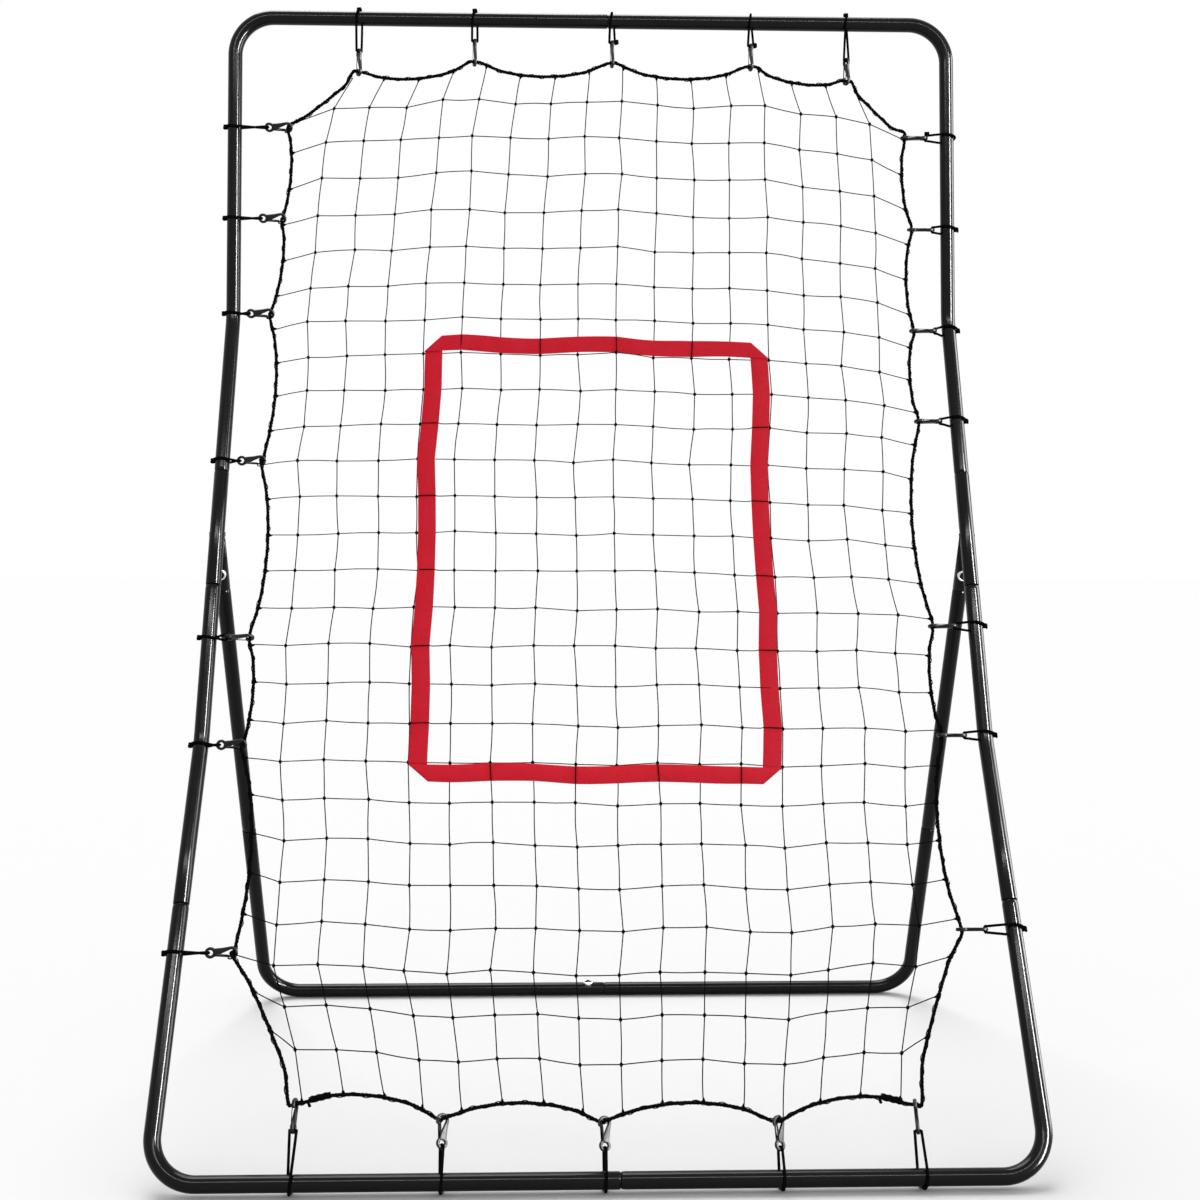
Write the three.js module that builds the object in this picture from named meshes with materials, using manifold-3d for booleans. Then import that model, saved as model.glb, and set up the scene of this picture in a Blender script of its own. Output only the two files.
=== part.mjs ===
// Pitching target net: a round-tube frame bent to lean back, a rear stand plugged into welded
// branches, and a square-mesh net hung inside the frame on elastic ties with moulded hooks.
// Millimetres, +X to the thrower's right, +Y away from the thrower, +Z up.
import * as THREE from 'three';
import { mergeVertices } from 'three/addons/utils/BufferGeometryUtils.js';
import Module from 'manifold-3d';

const wasm = await Module();
wasm.setup();

// ---- Driving dimensions -------------------------------------------------------------------

// Front frame, measured on the tube centrelines from the bottom bar upwards
const FRAME_WIDTH = 914;
const LOWER_RUN = 478;
const LOWER_LEAN = 32.8;
const MIDDLE_RUN = 539;
const MIDDLE_LEAN = 21.8;
const UPPER_RUN = 379;
const UPPER_LEAN = 5.1;
const CORNER_RADIUS = 48;
const BEND_RADIUS = 90;

// Tube
const TUBE_OD = 17.5;
const TUBE_WALL = 1.2;
const TUBE_SIDES = 12;
const CORNER_STEPS = 4;
const BEND_STEPS = 2;

// Joints between the tubes: a reduced end of one tube slides into the next
const FIT_CLEARANCE = 0.35;
const SEAM_GAP = 0.5;
const SPIGOT_LENGTH = 40;
const SPIGOT_WALL = 1.2;
const SPIGOT_ROOT = 7;
const LOWER_SEAM = 285;
const BRANCH_HEIGHT = 730;
const CONNECTOR_BELOW = 66;
const CONNECTOR_ABOVE = 78;
const FRONT_BAR_SEAM = 18;
const REAR_BAR_SEAM = 21;

// Rear stand, measured from where the branch meets the front tube
const STAND_LEAN = 23.6;
const BRANCH_LENGTH = 73;
const LEG_SEAM = 426;

// Snap buttons that lock the stand's three joints
const BUTTON_FROM_SEAM = 22;
const BUTTON_RADIUS = 3.3;
const BUTTON_PROUD = 3.6;
const BUTTON_HOLE_CLEARANCE = 0.4;
const BUTTON_FLANGE_RADIUS = 4.3;
const BUTTON_FLANGE_TOP = 3.1;
const BUTTON_FLANGE = 1.0;
const WASHER_RADIUS = 7.2;
const WASHER_RISE = 1.6;
const SPRING_WIDTH = 5;
const SPRING_STRIP = 0.6;
const SPRING_REACH = 24;

// Elastic ties: cord loop round the tube, moulded hook on the border rope
const CORD_DIAMETER = 3;
const CORD_GAP = 0.3;
const HOOK_WIRE = 4;
const HOOK_EYE_FROM_ROPE = 24;
const HOOK_EYE_OUTER = 5.6;
const HOOK_EYE_HOLE = 2.8;
const HOOK_THICKNESS = 3.6;
const HOOK_ROPE_CLEARANCE = 1.3;
const HOOK_SKEW = 12;
const TIE_SIDES = 5;
const CORD_STEPS = 7;

// Net, border rope and strike-zone webbing
const ROPE_DIAMETER = 3.6;
const ROPE_SIDES = 5;
const ROPE_KINK = 7;
const ROPE_SHARES = [0.3, 0.7];
const MEND_SPAN = 3;
const NET_COLUMNS = 17;
const NET_ROWS = 27;
const NET_THICKNESS = 1;
const NET_EDGE_INSET = 10;
const RELAX_ROUNDS = 400;
// Where the mesh's corners sit: share of the corner's rope from the tie that comes first
const MESH_CORNERS = { bottom: 0.13, right: 0.42, top: 0.48, left: 0.81 };
// 0 hangs the knots by an even division of the edges, 1 by the balance of their pulls
const PULL_SHARE = 0.5;
const WHIPPING_LENGTH = 22;
const WHIPPING_WALL = 1.2;
const WEBBING_WIDTH = 22;
const WEBBING_THICKNESS = 1.4;
const WEBBING_CLEARANCE = 0.6;
const ZONE_COLUMNS = [4, 13];
const ZONE_ROWS = [8, 19];

// Ties: place along the bar or up the side tube, reach from the tube's axis to the rope, and
// how far the flat hook is twisted out of the net's plane.
const TOP_TIES = [
  { along: -294, reach: 68, twist: 60 },
  { along: -149, reach: 54, twist: 75 },
  { along: 24, reach: 54, twist: 80 },
  { along: 199.5, reach: 56.2, twist: 78 },
  { along: 321, reach: 73, twist: 65 },
];
const RIGHT_TIES = [
  { along: 253, reach: 58, twist: 75 },
  { along: 482, reach: 51, twist: 80 },
  { along: 614, reach: 51, twist: 85 },
  { along: 879, reach: 48, twist: 80 },
  { along: 1004, reach: 45, twist: 75 },
  { along: 1134, reach: 46, twist: 80 },
  { along: 1251, reach: 54, twist: 85 },
];
const LEFT_TIES = [
  { along: 232, reach: 61, twist: 25 },
  { along: 472, reach: 47, twist: 30 },
  { along: 600, reach: 47, twist: 80 },
  { along: 823, reach: 47, twist: 20 },
  { along: 1022, reach: 46, twist: 35 },
  { along: 1142, reach: 60, twist: 25 },
  { along: 1257, reach: 67, twist: 35 },
];
const BOTTOM_TIES = [
  { along: -309, reach: 77, twist: 80 },
  { along: -160, reach: 61, twist: 30 },
  { along: 3, reach: 57, twist: 20 },
  { along: 179, reach: 56, twist: 30 },
  { along: 320, reach: 71, twist: 75 },
];
// How far each kind of rope span bows inwards, as a share of its length
const BAR_SPAN_BOW = 0.1;
const SIDE_SPAN_BOW = 0.06;
const CORNER_SPAN_BOW = 0.03;

// ---- Sizes worked out from them -----------------------------------------------------------

const degrees = (angle) => THREE.MathUtils.degToRad(angle);
const TUBE_R = TUBE_OD / 2;
const BORE_R = TUBE_R - TUBE_WALL;
const FLAT_SHARE = Math.cos(Math.PI / TUBE_SIDES);
const TUBE_CORNER_R = TUBE_R / FLAT_SHARE;
const SPIGOT_R = (BORE_R - FIT_CLEARANCE) * FLAT_SHARE;
const SPIGOT_BORE = SPIGOT_R - SPIGOT_WALL;
const HALF_WIDTH = FRAME_WIDTH / 2 - TUBE_R;
// Cords and hooks are drawn with few sides, with corners set out so their thickness stays true
const cordCorner = (diameter, sides) => (diameter / 2) * Math.sqrt((2 * Math.PI) / sides / Math.sin((2 * Math.PI) / sides));
const CORD_CORNER_R = cordCorner(CORD_DIAMETER, TIE_SIDES);
const ROPE_CORNER_R = cordCorner(ROPE_DIAMETER, ROPE_SIDES);
const CORD_LOOP_R = TUBE_CORNER_R + CORD_GAP + CORD_CORNER_R;
const SIDE_LENGTH = LOWER_RUN + MIDDLE_RUN + UPPER_RUN;
const CONNECTOR_BOTTOM = BRANCH_HEIGHT - CONNECTOR_BELOW;
const CONNECTOR_TOP = BRANCH_HEIGHT + CONNECTOR_ABOVE;

const X = new THREE.Vector3(1, 0, 0);
const Y = new THREE.Vector3(0, 1, 0);
const Z = new THREE.Vector3(0, 0, 1);
const uphill = (lean) => new THREE.Vector3(0, Math.sin(degrees(lean)), Math.cos(degrees(lean)));

// ---- Helpers ------------------------------------------------------------------------------

const whole = new THREE.Group();

const blackPaint = { color: 0x0b0b0c, roughness: 0.22, metalness: 0.1 };
const zincPlate = { color: 0xb9bcc0, roughness: 0.35, metalness: 1 };
const springSteel = { color: 0x6d6f72, roughness: 0.4, metalness: 1 };
const blackTwine = { color: 0x161616, roughness: 0.9, metalness: 0 };
const blackRope = { color: 0x121212, roughness: 0.85, metalness: 0 };
const blackNylon = { color: 0x0e0e0f, roughness: 0.5, metalness: 0 };
const redWebbing = { color: 0xca2132, roughness: 0.75, metalness: 0 };

function addPart(name, geometry, finish) {
  const mesh = new THREE.Mesh(geometry, new THREE.MeshStandardMaterial(finish));
  mesh.name = name;
  whole.add(mesh);
  return mesh;
}

// Regular polygon with its corners on a radius and a flat facing the section's own +X
function polygon(corner, sides) {
  return Array.from({ length: sides }, (_, k) => {
    const angle = ((k + 0.5) * 2 * Math.PI) / sides;
    return new THREE.Vector2(corner * Math.cos(angle), corner * Math.sin(angle));
  });
}

const flatsAt = (radius, sides) => polygon(radius / Math.cos(Math.PI / sides), sides);

function ringShape(outer, inner, sides) {
  const shape = new THREE.Shape(flatsAt(outer, sides));
  if (inner > 0) shape.holes.push(new THREE.Path(flatsAt(inner, sides).reverse()));
  return shape;
}

// A path that is stepped at chosen stations only, with its section kept from twisting
class SteppedPath extends THREE.Curve {
  constructor(points, tangents, startSide) {
    super();
    this.points = points;
    this.tangents = tangents;
    this.startSide = startSide;
  }

  getPoint(share, target = new THREE.Vector3()) {
    const place = share * (this.points.length - 1);
    const index = Math.min(Math.floor(place + 1e-9), this.points.length - 2);
    return target.lerpVectors(this.points[index], this.points[index + 1], place - index);
  }

  getPointAt(share, target) {
    return this.getPoint(share, target);
  }

  computeFrenetFrames() {
    const normals = [];
    const binormals = [];
    const side = this.startSide.clone();
    for (const tangent of this.tangents) {
      side.addScaledVector(tangent, -side.dot(tangent)).normalize();
      normals.push(side.clone());
      binormals.push(new THREE.Vector3().crossVectors(tangent, side));
    }
    return { tangents: this.tangents, normals, binormals };
  }
}

function sweep(shape, points, tangents, startSide) {
  const path = new SteppedPath(points, tangents, startSide);
  return new THREE.ExtrudeGeometry(shape, { steps: points.length - 1, bevelEnabled: false, extrudePath: path });
}

// Draws a tube's centreline as straight lengths and bends
class TubeRoute {
  constructor(start, direction) {
    this.points = [start.clone()];
    this.tangents = [direction.clone().normalize()];
  }

  get end() {
    return this.points.at(-1);
  }

  get heading() {
    return this.tangents.at(-1);
  }

  straight(length) {
    this.points.push(this.end.clone().addScaledVector(this.heading, length));
    this.tangents.push(this.heading.clone());
    return this;
  }

  bend(radius, angle, axis, steps) {
    const centre = this.end.clone().addScaledVector(
      new THREE.Vector3().crossVectors(axis, this.heading),
      radius * Math.sign(angle),
    );
    const arm = this.end.clone().sub(centre);
    const heading = this.heading.clone();
    for (let step = 1; step <= steps; step += 1) {
      const turned = (angle * step) / steps;
      this.points.push(arm.clone().applyAxisAngle(axis, turned).add(centre));
      this.tangents.push(heading.clone().applyAxisAngle(axis, turned));
    }
    return this;
  }

  tube(startSide, outer = TUBE_R, inner = BORE_R) {
    return sweep(ringShape(outer, inner, TUBE_SIDES), this.points, this.tangents, startSide);
  }
}

function solidOf(geometry) {
  const bare = geometry.clone();
  bare.deleteAttribute('normal');
  bare.deleteAttribute('uv');
  const merged = mergeVertices(bare.index ? bare.toNonIndexed() : bare, 1e-4);
  return new wasm.Manifold(new wasm.Mesh({
    numProp: 3,
    vertProperties: new Float32Array(merged.attributes.position.array),
    triVerts: new Uint32Array(merged.index.array),
  }));
}

function geometryOf(solid) {
  const mesh = solid.getMesh();
  const geometry = new THREE.BufferGeometry();
  geometry.setAttribute('position', new THREE.BufferAttribute(new Float32Array(mesh.vertProperties), 3));
  geometry.setIndex(new THREE.BufferAttribute(new Uint32Array(mesh.triVerts), 1));
  geometry.computeVertexNormals();
  return geometry;
}

const joined = (...geometries) => geometryOf(geometries.map(solidOf).reduce((a, b) => a.add(b)));
const cut = (geometry, ...tools) => geometryOf(tools.map(solidOf).reduce((a, b) => a.subtract(b), solidOf(geometry)));

// Turns geometry made along +Z so that it starts at a point and runs along a direction
function placed(geometry, origin, direction) {
  const turn = new THREE.Quaternion().setFromUnitVectors(Z, direction.clone().normalize());
  return geometry.clone().applyQuaternion(turn).translate(origin.x, origin.y, origin.z);
}

// Reduced end that plugs into the next tube
function spigot(origin, direction) {
  const root = (SPIGOT_R / FLAT_SHARE + TUBE_CORNER_R) / 2;
  const tip = SPIGOT_R / FLAT_SHARE;
  const bore = SPIGOT_BORE / FLAT_SHARE;
  const profile = [
    new THREE.Vector2(bore, -SPIGOT_ROOT),
    new THREE.Vector2(root, -SPIGOT_ROOT),
    new THREE.Vector2(root, -SPIGOT_ROOT / 2),
    new THREE.Vector2(tip, -0.1),
    new THREE.Vector2(tip, SPIGOT_LENGTH),
    new THREE.Vector2(bore, SPIGOT_LENGTH),
    new THREE.Vector2(bore, -SPIGOT_ROOT),
  ];
  const lathe = new THREE.LatheGeometry(profile, TUBE_SIDES);
  lathe.rotateX(Math.PI / 2);
  return placed(lathe, origin, direction);
}

const smoothTangents = (points) => points.map((_, k) => {
  const before = points[Math.max(k - 1, 0)];
  const after = points[Math.min(k + 1, points.length - 1)];
  return after.clone().sub(before).normalize();
});

// ---- Where everything lies ----------------------------------------------------------------

// Elastic cord in its tie's own axes: out of the eye, round the tube and back
function cordLoop(reach) {
  const eye = reach - HOOK_EYE_FROM_ROPE - (HOOK_EYE_OUTER + HOOK_EYE_HOLE) / 2;
  const leave = Math.acos(CORD_LOOP_R / eye);
  const step = (2 * Math.PI - 2 * leave) / CORD_STEPS;
  const radius = CORD_LOOP_R / Math.cos(step / 2);
  const points = [new THREE.Vector3(eye + 0.6, 0, -CORD_CORNER_R * 0.5)];
  for (let k = 0; k <= CORD_STEPS; k += 1) {
    const angle = -leave - k * step;
    points.push(new THREE.Vector3(radius * Math.cos(angle), 0, radius * Math.sin(angle)));
  }
  points.push(new THREE.Vector3(eye + 0.6, 0, CORD_CORNER_R * 0.5));
  return sweep(new THREE.Shape(polygon(CORD_CORNER_R, TIE_SIDES)), points, smoothTangents(points), Y);
}

const axesTurn = (a, b, c) => new THREE.Matrix4().makeBasis(a, b, c);

// The bottom bar rests on the elastic loops round it
const bottomLoops = new THREE.Box3();
for (const { reach } of BOTTOM_TIES) {
  const towards = uphill(LOWER_LEAN);
  const loop = cordLoop(reach).applyMatrix4(axesTurn(towards, X, new THREE.Vector3().crossVectors(towards, X)));
  loop.computeBoundingBox();
  bottomLoops.union(loop.boundingBox);
}
const FRONT_BAR_Z = -bottomLoops.min.z;

const RUNS = [
  { from: 0, length: LOWER_RUN, lean: LOWER_LEAN },
  { from: LOWER_RUN, length: MIDDLE_RUN, lean: MIDDLE_LEAN },
  { from: LOWER_RUN + MIDDLE_RUN, length: UPPER_RUN, lean: UPPER_LEAN },
];

const bendTangent = (turn) => BEND_RADIUS * Math.tan(degrees(turn) / 2);
const BENDS = [RUNS[1], RUNS[2]].map((run, index) => ({
  at: run.from,
  before: RUNS[index].lean,
  after: run.lean,
  reach: bendTangent(RUNS[index].lean - run.lean),
}));

// Lean of the side tube at a distance up it from the bottom bar
function leanAt(along) {
  const bend = BENDS.find(({ at, reach }) => Math.abs(along - at) < reach);
  if (bend) return THREE.MathUtils.mapLinear(along, bend.at - bend.reach, bend.at + bend.reach, bend.before, bend.after);
  return (RUNS.find((run) => along <= run.from + run.length) ?? RUNS[2]).lean;
}

// Point on the leaning centre surface of the frame, at a distance up the side from the bottom bar
function framePoint(x, along) {
  const point = new THREE.Vector3(x, 0, FRONT_BAR_Z);
  for (const run of RUNS) {
    const part = THREE.MathUtils.clamp(along - run.from, run === RUNS[0] ? -Infinity : 0, run.length);
    point.addScaledVector(uphill(run.lean), part);
  }
  for (const { at, before, after, reach } of BENDS) {
    const into = Math.max(0, reach - Math.abs(along - at));
    const outside = uphill((before + after) / 2).cross(X);
    point.addScaledVector(outside, -(into * into) / (2 * BEND_RADIUS));
  }
  return point;
}

const BRANCH_POINT = framePoint(0, BRANCH_HEIGHT);
const LEG_DIRECTION = new THREE.Vector3(0, Math.sin(degrees(STAND_LEAN)), -Math.cos(degrees(STAND_LEAN)));
const LEG_LENGTH = (BRANCH_POINT.z - TUBE_R) / Math.cos(degrees(STAND_LEAN));
const LEG_FRONT = new THREE.Vector3().crossVectors(LEG_DIRECTION, X).normalize();
const REAR_BAR = BRANCH_POINT.clone().addScaledVector(LEG_DIRECTION, LEG_LENGTH);
const BRANCH_ANGLE = degrees(MIDDLE_LEAN + STAND_LEAN);


// The origin is under the middle of the whole object
whole.position.set(0, -(REAR_BAR.y + TUBE_R + bottomLoops.min.y) / 2, 0);

// ---- Front frame --------------------------------------------------------------------------

// Each corner tube starts at the seam in its bar and ends at the seam in its side
function barStart(side, seam) {
  const gap = SEAM_GAP / 2;
  return side > 0 ? seam + gap : seam - gap;
}

function bottomCorner(side) {
  const startX = barStart(side, FRONT_BAR_SEAM);
  const lean = uphill(LOWER_LEAN);
  const outward = X.clone().multiplyScalar(side);
  const axis = new THREE.Vector3().crossVectors(outward, lean);
  const route = new TubeRoute(new THREE.Vector3(startX, 0, FRONT_BAR_Z), outward)
    .straight(Math.abs(side * HALF_WIDTH - startX) - CORNER_RADIUS)
    .bend(CORNER_RADIUS, Math.PI / 2, axis, CORNER_STEPS)
    .straight(LOWER_SEAM - SEAM_GAP / 2 - CORNER_RADIUS);
  const pieces = [route.tube(Z), spigot(route.end, route.heading)];
  if (side > 0) pieces.push(spigot(route.points[0], outward.clone().negate()));
  return joined(...pieces);
}

function lowerSide(side) {
  const turn = LOWER_LEAN - MIDDLE_LEAN;
  const start = framePoint(side * HALF_WIDTH, LOWER_SEAM + SEAM_GAP / 2);
  const route = new TubeRoute(start, uphill(LOWER_LEAN))
    .straight(LOWER_RUN - bendTangent(turn) - LOWER_SEAM - SEAM_GAP / 2)
    .bend(BEND_RADIUS, degrees(turn), X, BEND_STEPS)
    .straight(CONNECTOR_BOTTOM - SEAM_GAP / 2 - LOWER_RUN - bendTangent(turn));
  return joined(route.tube(X), spigot(route.end, route.heading));
}

function upperCorner(side) {
  const turn = MIDDLE_LEAN - UPPER_LEAN;
  const bendAt = LOWER_RUN + MIDDLE_RUN;
  const start = framePoint(side * HALF_WIDTH, CONNECTOR_TOP + SEAM_GAP / 2);
  const inward = X.clone().multiplyScalar(-side);
  const axis = new THREE.Vector3().crossVectors(uphill(UPPER_LEAN), inward);
  const endX = barStart(side, FRONT_BAR_SEAM);
  const route = new TubeRoute(start, uphill(MIDDLE_LEAN))
    .straight(bendAt - bendTangent(turn) - CONNECTOR_TOP - SEAM_GAP / 2)
    .bend(BEND_RADIUS, degrees(turn), X, BEND_STEPS)
    .straight(UPPER_RUN - bendTangent(turn) - CORNER_RADIUS)
    .bend(CORNER_RADIUS, Math.PI / 2, axis, CORNER_STEPS)
    .straight(Math.abs(side * HALF_WIDTH - endX) - CORNER_RADIUS);
  const pieces = [route.tube(X), spigot(start, uphill(MIDDLE_LEAN).negate())];
  if (side > 0) pieces.push(spigot(route.end, route.heading));
  return joined(...pieces);
}

// Washer seat, button hole and the joint they sit on, looking along `out` from the tube's axis
const buttonHoleRadius = BUTTON_RADIUS + BUTTON_HOLE_CLEARANCE;

function buttonHole(centre, out) {
  const drill = new THREE.CylinderGeometry(buttonHoleRadius, buttonHoleRadius, 2 * TUBE_OD, 16);
  drill.rotateX(Math.PI / 2).translate(0, 0, TUBE_OD);
  return placed(drill, centre, out);
}

// Short front tube with the stand's branch welded to its back
function sideConnector(side) {
  const x = side * HALF_WIDTH;
  const bottom = framePoint(x, CONNECTOR_BOTTOM + SEAM_GAP / 2);
  const length = CONNECTOR_TOP - CONNECTOR_BOTTOM - SEAM_GAP;
  const root = new THREE.Vector3(x, BRANCH_POINT.y, BRANCH_POINT.z);
  const main = new TubeRoute(bottom, uphill(MIDDLE_LEAN)).straight(length);
  const bore = new TubeRoute(main.end.clone().addScaledVector(uphill(MIDDLE_LEAN), -length - 1), uphill(MIDDLE_LEAN))
    .straight(length + 2);
  const branch = new TubeRoute(root, LEG_DIRECTION).straight(BRANCH_LENGTH - SEAM_GAP / 2);
  const boreStart = (TUBE_CORNER_R + BORE_R) / Math.sin(BRANCH_ANGLE);
  const branchBore = new TubeRoute(root.clone().addScaledVector(LEG_DIRECTION, boreStart), LEG_DIRECTION)
    .straight(BRANCH_LENGTH);
  const outside = joined(main.tube(X, TUBE_R, 0), branch.tube(X, TUBE_R, 0));
  const buttonAt = root.clone().addScaledVector(LEG_DIRECTION, BRANCH_LENGTH - BUTTON_FROM_SEAM);
  return cut(outside, bore.tube(X, BORE_R, 0), branchBore.tube(X, BORE_R, 0), buttonHole(buttonAt, LEG_FRONT));
}

for (const [name, side] of [['left', -1], ['right', 1]]) {
  addPart(`bottom_corner_tube_${name}`, bottomCorner(side), blackPaint);
  addPart(`lower_side_tube_${name}`, lowerSide(side), blackPaint);
  addPart(`side_connector_${name}`, sideConnector(side), blackPaint);
  addPart(`upper_corner_tube_${name}`, upperCorner(side), blackPaint);
}

// ---- Rear stand ---------------------------------------------------------------------------

function standLeg(side) {
  const x = side * HALF_WIDTH;
  const root = new THREE.Vector3(x, BRANCH_POINT.y, BRANCH_POINT.z);
  const start = root.clone().addScaledVector(LEG_DIRECTION, BRANCH_LENGTH + SEAM_GAP / 2);
  const route = new TubeRoute(start, LEG_DIRECTION).straight(LEG_SEAM - BRANCH_LENGTH - SEAM_GAP);
  const buttonAt = root.clone().addScaledVector(LEG_DIRECTION, BRANCH_LENGTH - BUTTON_FROM_SEAM);
  const leg = joined(
    route.tube(X),
    spigot(start, LEG_DIRECTION.clone().negate()),
    spigot(route.end, LEG_DIRECTION),
  );
  return cut(leg, buttonHole(buttonAt, LEG_FRONT));
}

function standFoot(side) {
  const outward = X.clone().multiplyScalar(side);
  const startX = barStart(side, REAR_BAR_SEAM);
  const start = new THREE.Vector3(startX, REAR_BAR.y, REAR_BAR.z);
  const axis = new THREE.Vector3().crossVectors(outward, LEG_DIRECTION.clone().negate());
  const route = new TubeRoute(start, outward)
    .straight(Math.abs(side * HALF_WIDTH - startX) - CORNER_RADIUS)
    .bend(CORNER_RADIUS, Math.PI / 2, axis, CORNER_STEPS)
    .straight(LEG_LENGTH - LEG_SEAM - SEAM_GAP / 2 - CORNER_RADIUS);
  const pieces = [route.tube(Z)];
  if (side > 0) pieces.push(spigot(start, outward.clone().negate()));
  const foot = pieces.length > 1 ? joined(...pieces) : pieces[0];
  const buttonAt = new THREE.Vector3(REAR_BAR_SEAM - BUTTON_FROM_SEAM, REAR_BAR.y, REAR_BAR.z);
  return cut(foot, buttonHole(buttonAt, Z));
}

for (const [name, side] of [['left', -1], ['right', 1]]) {
  addPart(`stand_leg_${name}`, standLeg(side), blackPaint);
  addPart(`stand_foot_tube_${name}`, standFoot(side), blackPaint);
}

// ---- Snap buttons -------------------------------------------------------------------------

// Button with its dome along +Z, measured from the tube's axis
function snapButton() {
  const top = TUBE_R + BUTTON_PROUD;
  const shoulder = top - BUTTON_RADIUS * 0.6;
  const profile = [
    new THREE.Vector2(0, BUTTON_FLANGE_TOP - BUTTON_FLANGE),
    new THREE.Vector2(BUTTON_FLANGE_RADIUS, BUTTON_FLANGE_TOP - BUTTON_FLANGE),
    new THREE.Vector2(BUTTON_FLANGE_RADIUS, BUTTON_FLANGE_TOP),
    new THREE.Vector2(BUTTON_RADIUS, BUTTON_FLANGE_TOP),
    new THREE.Vector2(BUTTON_RADIUS, shoulder),
    new THREE.Vector2(BUTTON_RADIUS * 0.72, top - BUTTON_RADIUS * 0.16),
    new THREE.Vector2(0, top),
  ];
  return new THREE.LatheGeometry(profile, 12).rotateX(Math.PI / 2);
}

// Saddle washer round the hole: flat on top, curved underneath to sit on the tube
function saddleWasher() {
  const top = TUBE_R + WASHER_RISE;
  const low = TUBE_R * 0.4;
  const disc = new THREE.CylinderGeometry(WASHER_RADIUS, WASHER_RADIUS, top - low, 20);
  disc.rotateX(Math.PI / 2).translate(0, 0, (top + low) / 2);
  const seat = new TubeRoute(new THREE.Vector3(-TUBE_OD, 0, 0), X).straight(2 * TUBE_OD);
  const hole = new THREE.CylinderGeometry(buttonHoleRadius, buttonHoleRadius, 4 * top, 16).rotateX(Math.PI / 2);
  return cut(disc, seat.tube(Z, TUBE_R + FIT_CLEARANCE, 0), hole);
}

// Bent leaf that pushes the button out; it lies along +X inside the reduced tube end
function buttonSpring() {
  const floor = -(SPIGOT_BORE * 0.8);
  const upper = BUTTON_FLANGE_TOP - BUTTON_FLANGE - 1.2;
  const near = BUTTON_FLANGE_RADIUS + 0.5;
  const outline = new THREE.Shape([
    new THREE.Vector2(-near, floor),
    new THREE.Vector2(SPRING_REACH, floor),
    new THREE.Vector2(SPRING_REACH + 2, floor + 2),
    new THREE.Vector2(SPRING_REACH, floor + 4),
    new THREE.Vector2(near, upper),
    new THREE.Vector2(near, upper - SPRING_STRIP),
    new THREE.Vector2(SPRING_REACH - 0.4, floor + 4 - SPRING_STRIP),
    new THREE.Vector2(SPRING_REACH + 1, floor + 2),
    new THREE.Vector2(SPRING_REACH - 0.4, floor + SPRING_STRIP),
    new THREE.Vector2(-near, floor + SPRING_STRIP),
  ]);
  const leaf = new THREE.ExtrudeGeometry(outline, { depth: SPRING_WIDTH, steps: 1, bevelEnabled: false });
  return leaf.translate(0, 0, -SPRING_WIDTH / 2).rotateX(Math.PI / 2);
}

// Each joint: where the button's axis meets the tube's axis, which way it points, and the way
// into the reduced end from its mouth
const buttonJoints = [
  { name: 'left', side: -1 },
  { name: 'right', side: 1 },
].map(({ name, side }) => ({
  name,
  centre: new THREE.Vector3(side * HALF_WIDTH, BRANCH_POINT.y, BRANCH_POINT.z)
    .addScaledVector(LEG_DIRECTION, BRANCH_LENGTH - BUTTON_FROM_SEAM),
  out: LEG_FRONT,
  inward: LEG_DIRECTION,
}));
buttonJoints.push({
  name: 'rear_bar',
  centre: new THREE.Vector3(REAR_BAR_SEAM - BUTTON_FROM_SEAM, REAR_BAR.y, REAR_BAR.z),
  out: Z,
  inward: X,
});

for (const joint of buttonJoints) {
  const third = new THREE.Vector3().crossVectors(joint.out, joint.inward);
  const turn = axesTurn(joint.inward, third, joint.out);
  const pieces = [
    [`snap_button_${joint.name}`, snapButton(), blackNylon],
    [`saddle_washer_${joint.name}`, saddleWasher(), zincPlate],
    [`button_spring_${joint.name}`, buttonSpring(), springSteel],
  ];
  for (const [name, geometry, finish] of pieces) {
    const mesh = addPart(name, geometry, finish);
    mesh.quaternion.setFromRotationMatrix(turn);
    mesh.position.copy(joint.centre);
  }
}

// ---- Ties ---------------------------------------------------------------------------------

// Each tie's own axes: +X from the tube to the rope, +Y along the tube, +Z across the net
function tieAxes(edge, tie) {
  if (edge === 'top' || edge === 'bottom') {
    const run = edge === 'top' ? RUNS[2] : RUNS[0];
    const towards = uphill(run.lean).multiplyScalar(edge === 'top' ? -1 : 1);
    return { root: framePoint(tie.along, edge === 'top' ? SIDE_LENGTH : 0), towards, tubeWay: X.clone() };
  }
  const side = edge === 'right' ? 1 : -1;
  return {
    root: framePoint(side * HALF_WIDTH, tie.along),
    towards: X.clone().multiplyScalar(-side),
    tubeWay: uphill(leanAt(tie.along)),
  };
}

const ties = Object.entries({ bottom: BOTTOM_TIES, right: RIGHT_TIES, top: TOP_TIES, left: LEFT_TIES })
  .flatMap(([edge, list]) => list.map((tie, index) => {
    const axes = tieAxes(edge, tie);
    const across = new THREE.Vector3().crossVectors(axes.towards, axes.tubeWay);
    return { ...tie, ...axes, across, edge, name: `tie_${edge}_${index + 1}` };
  }));

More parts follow.
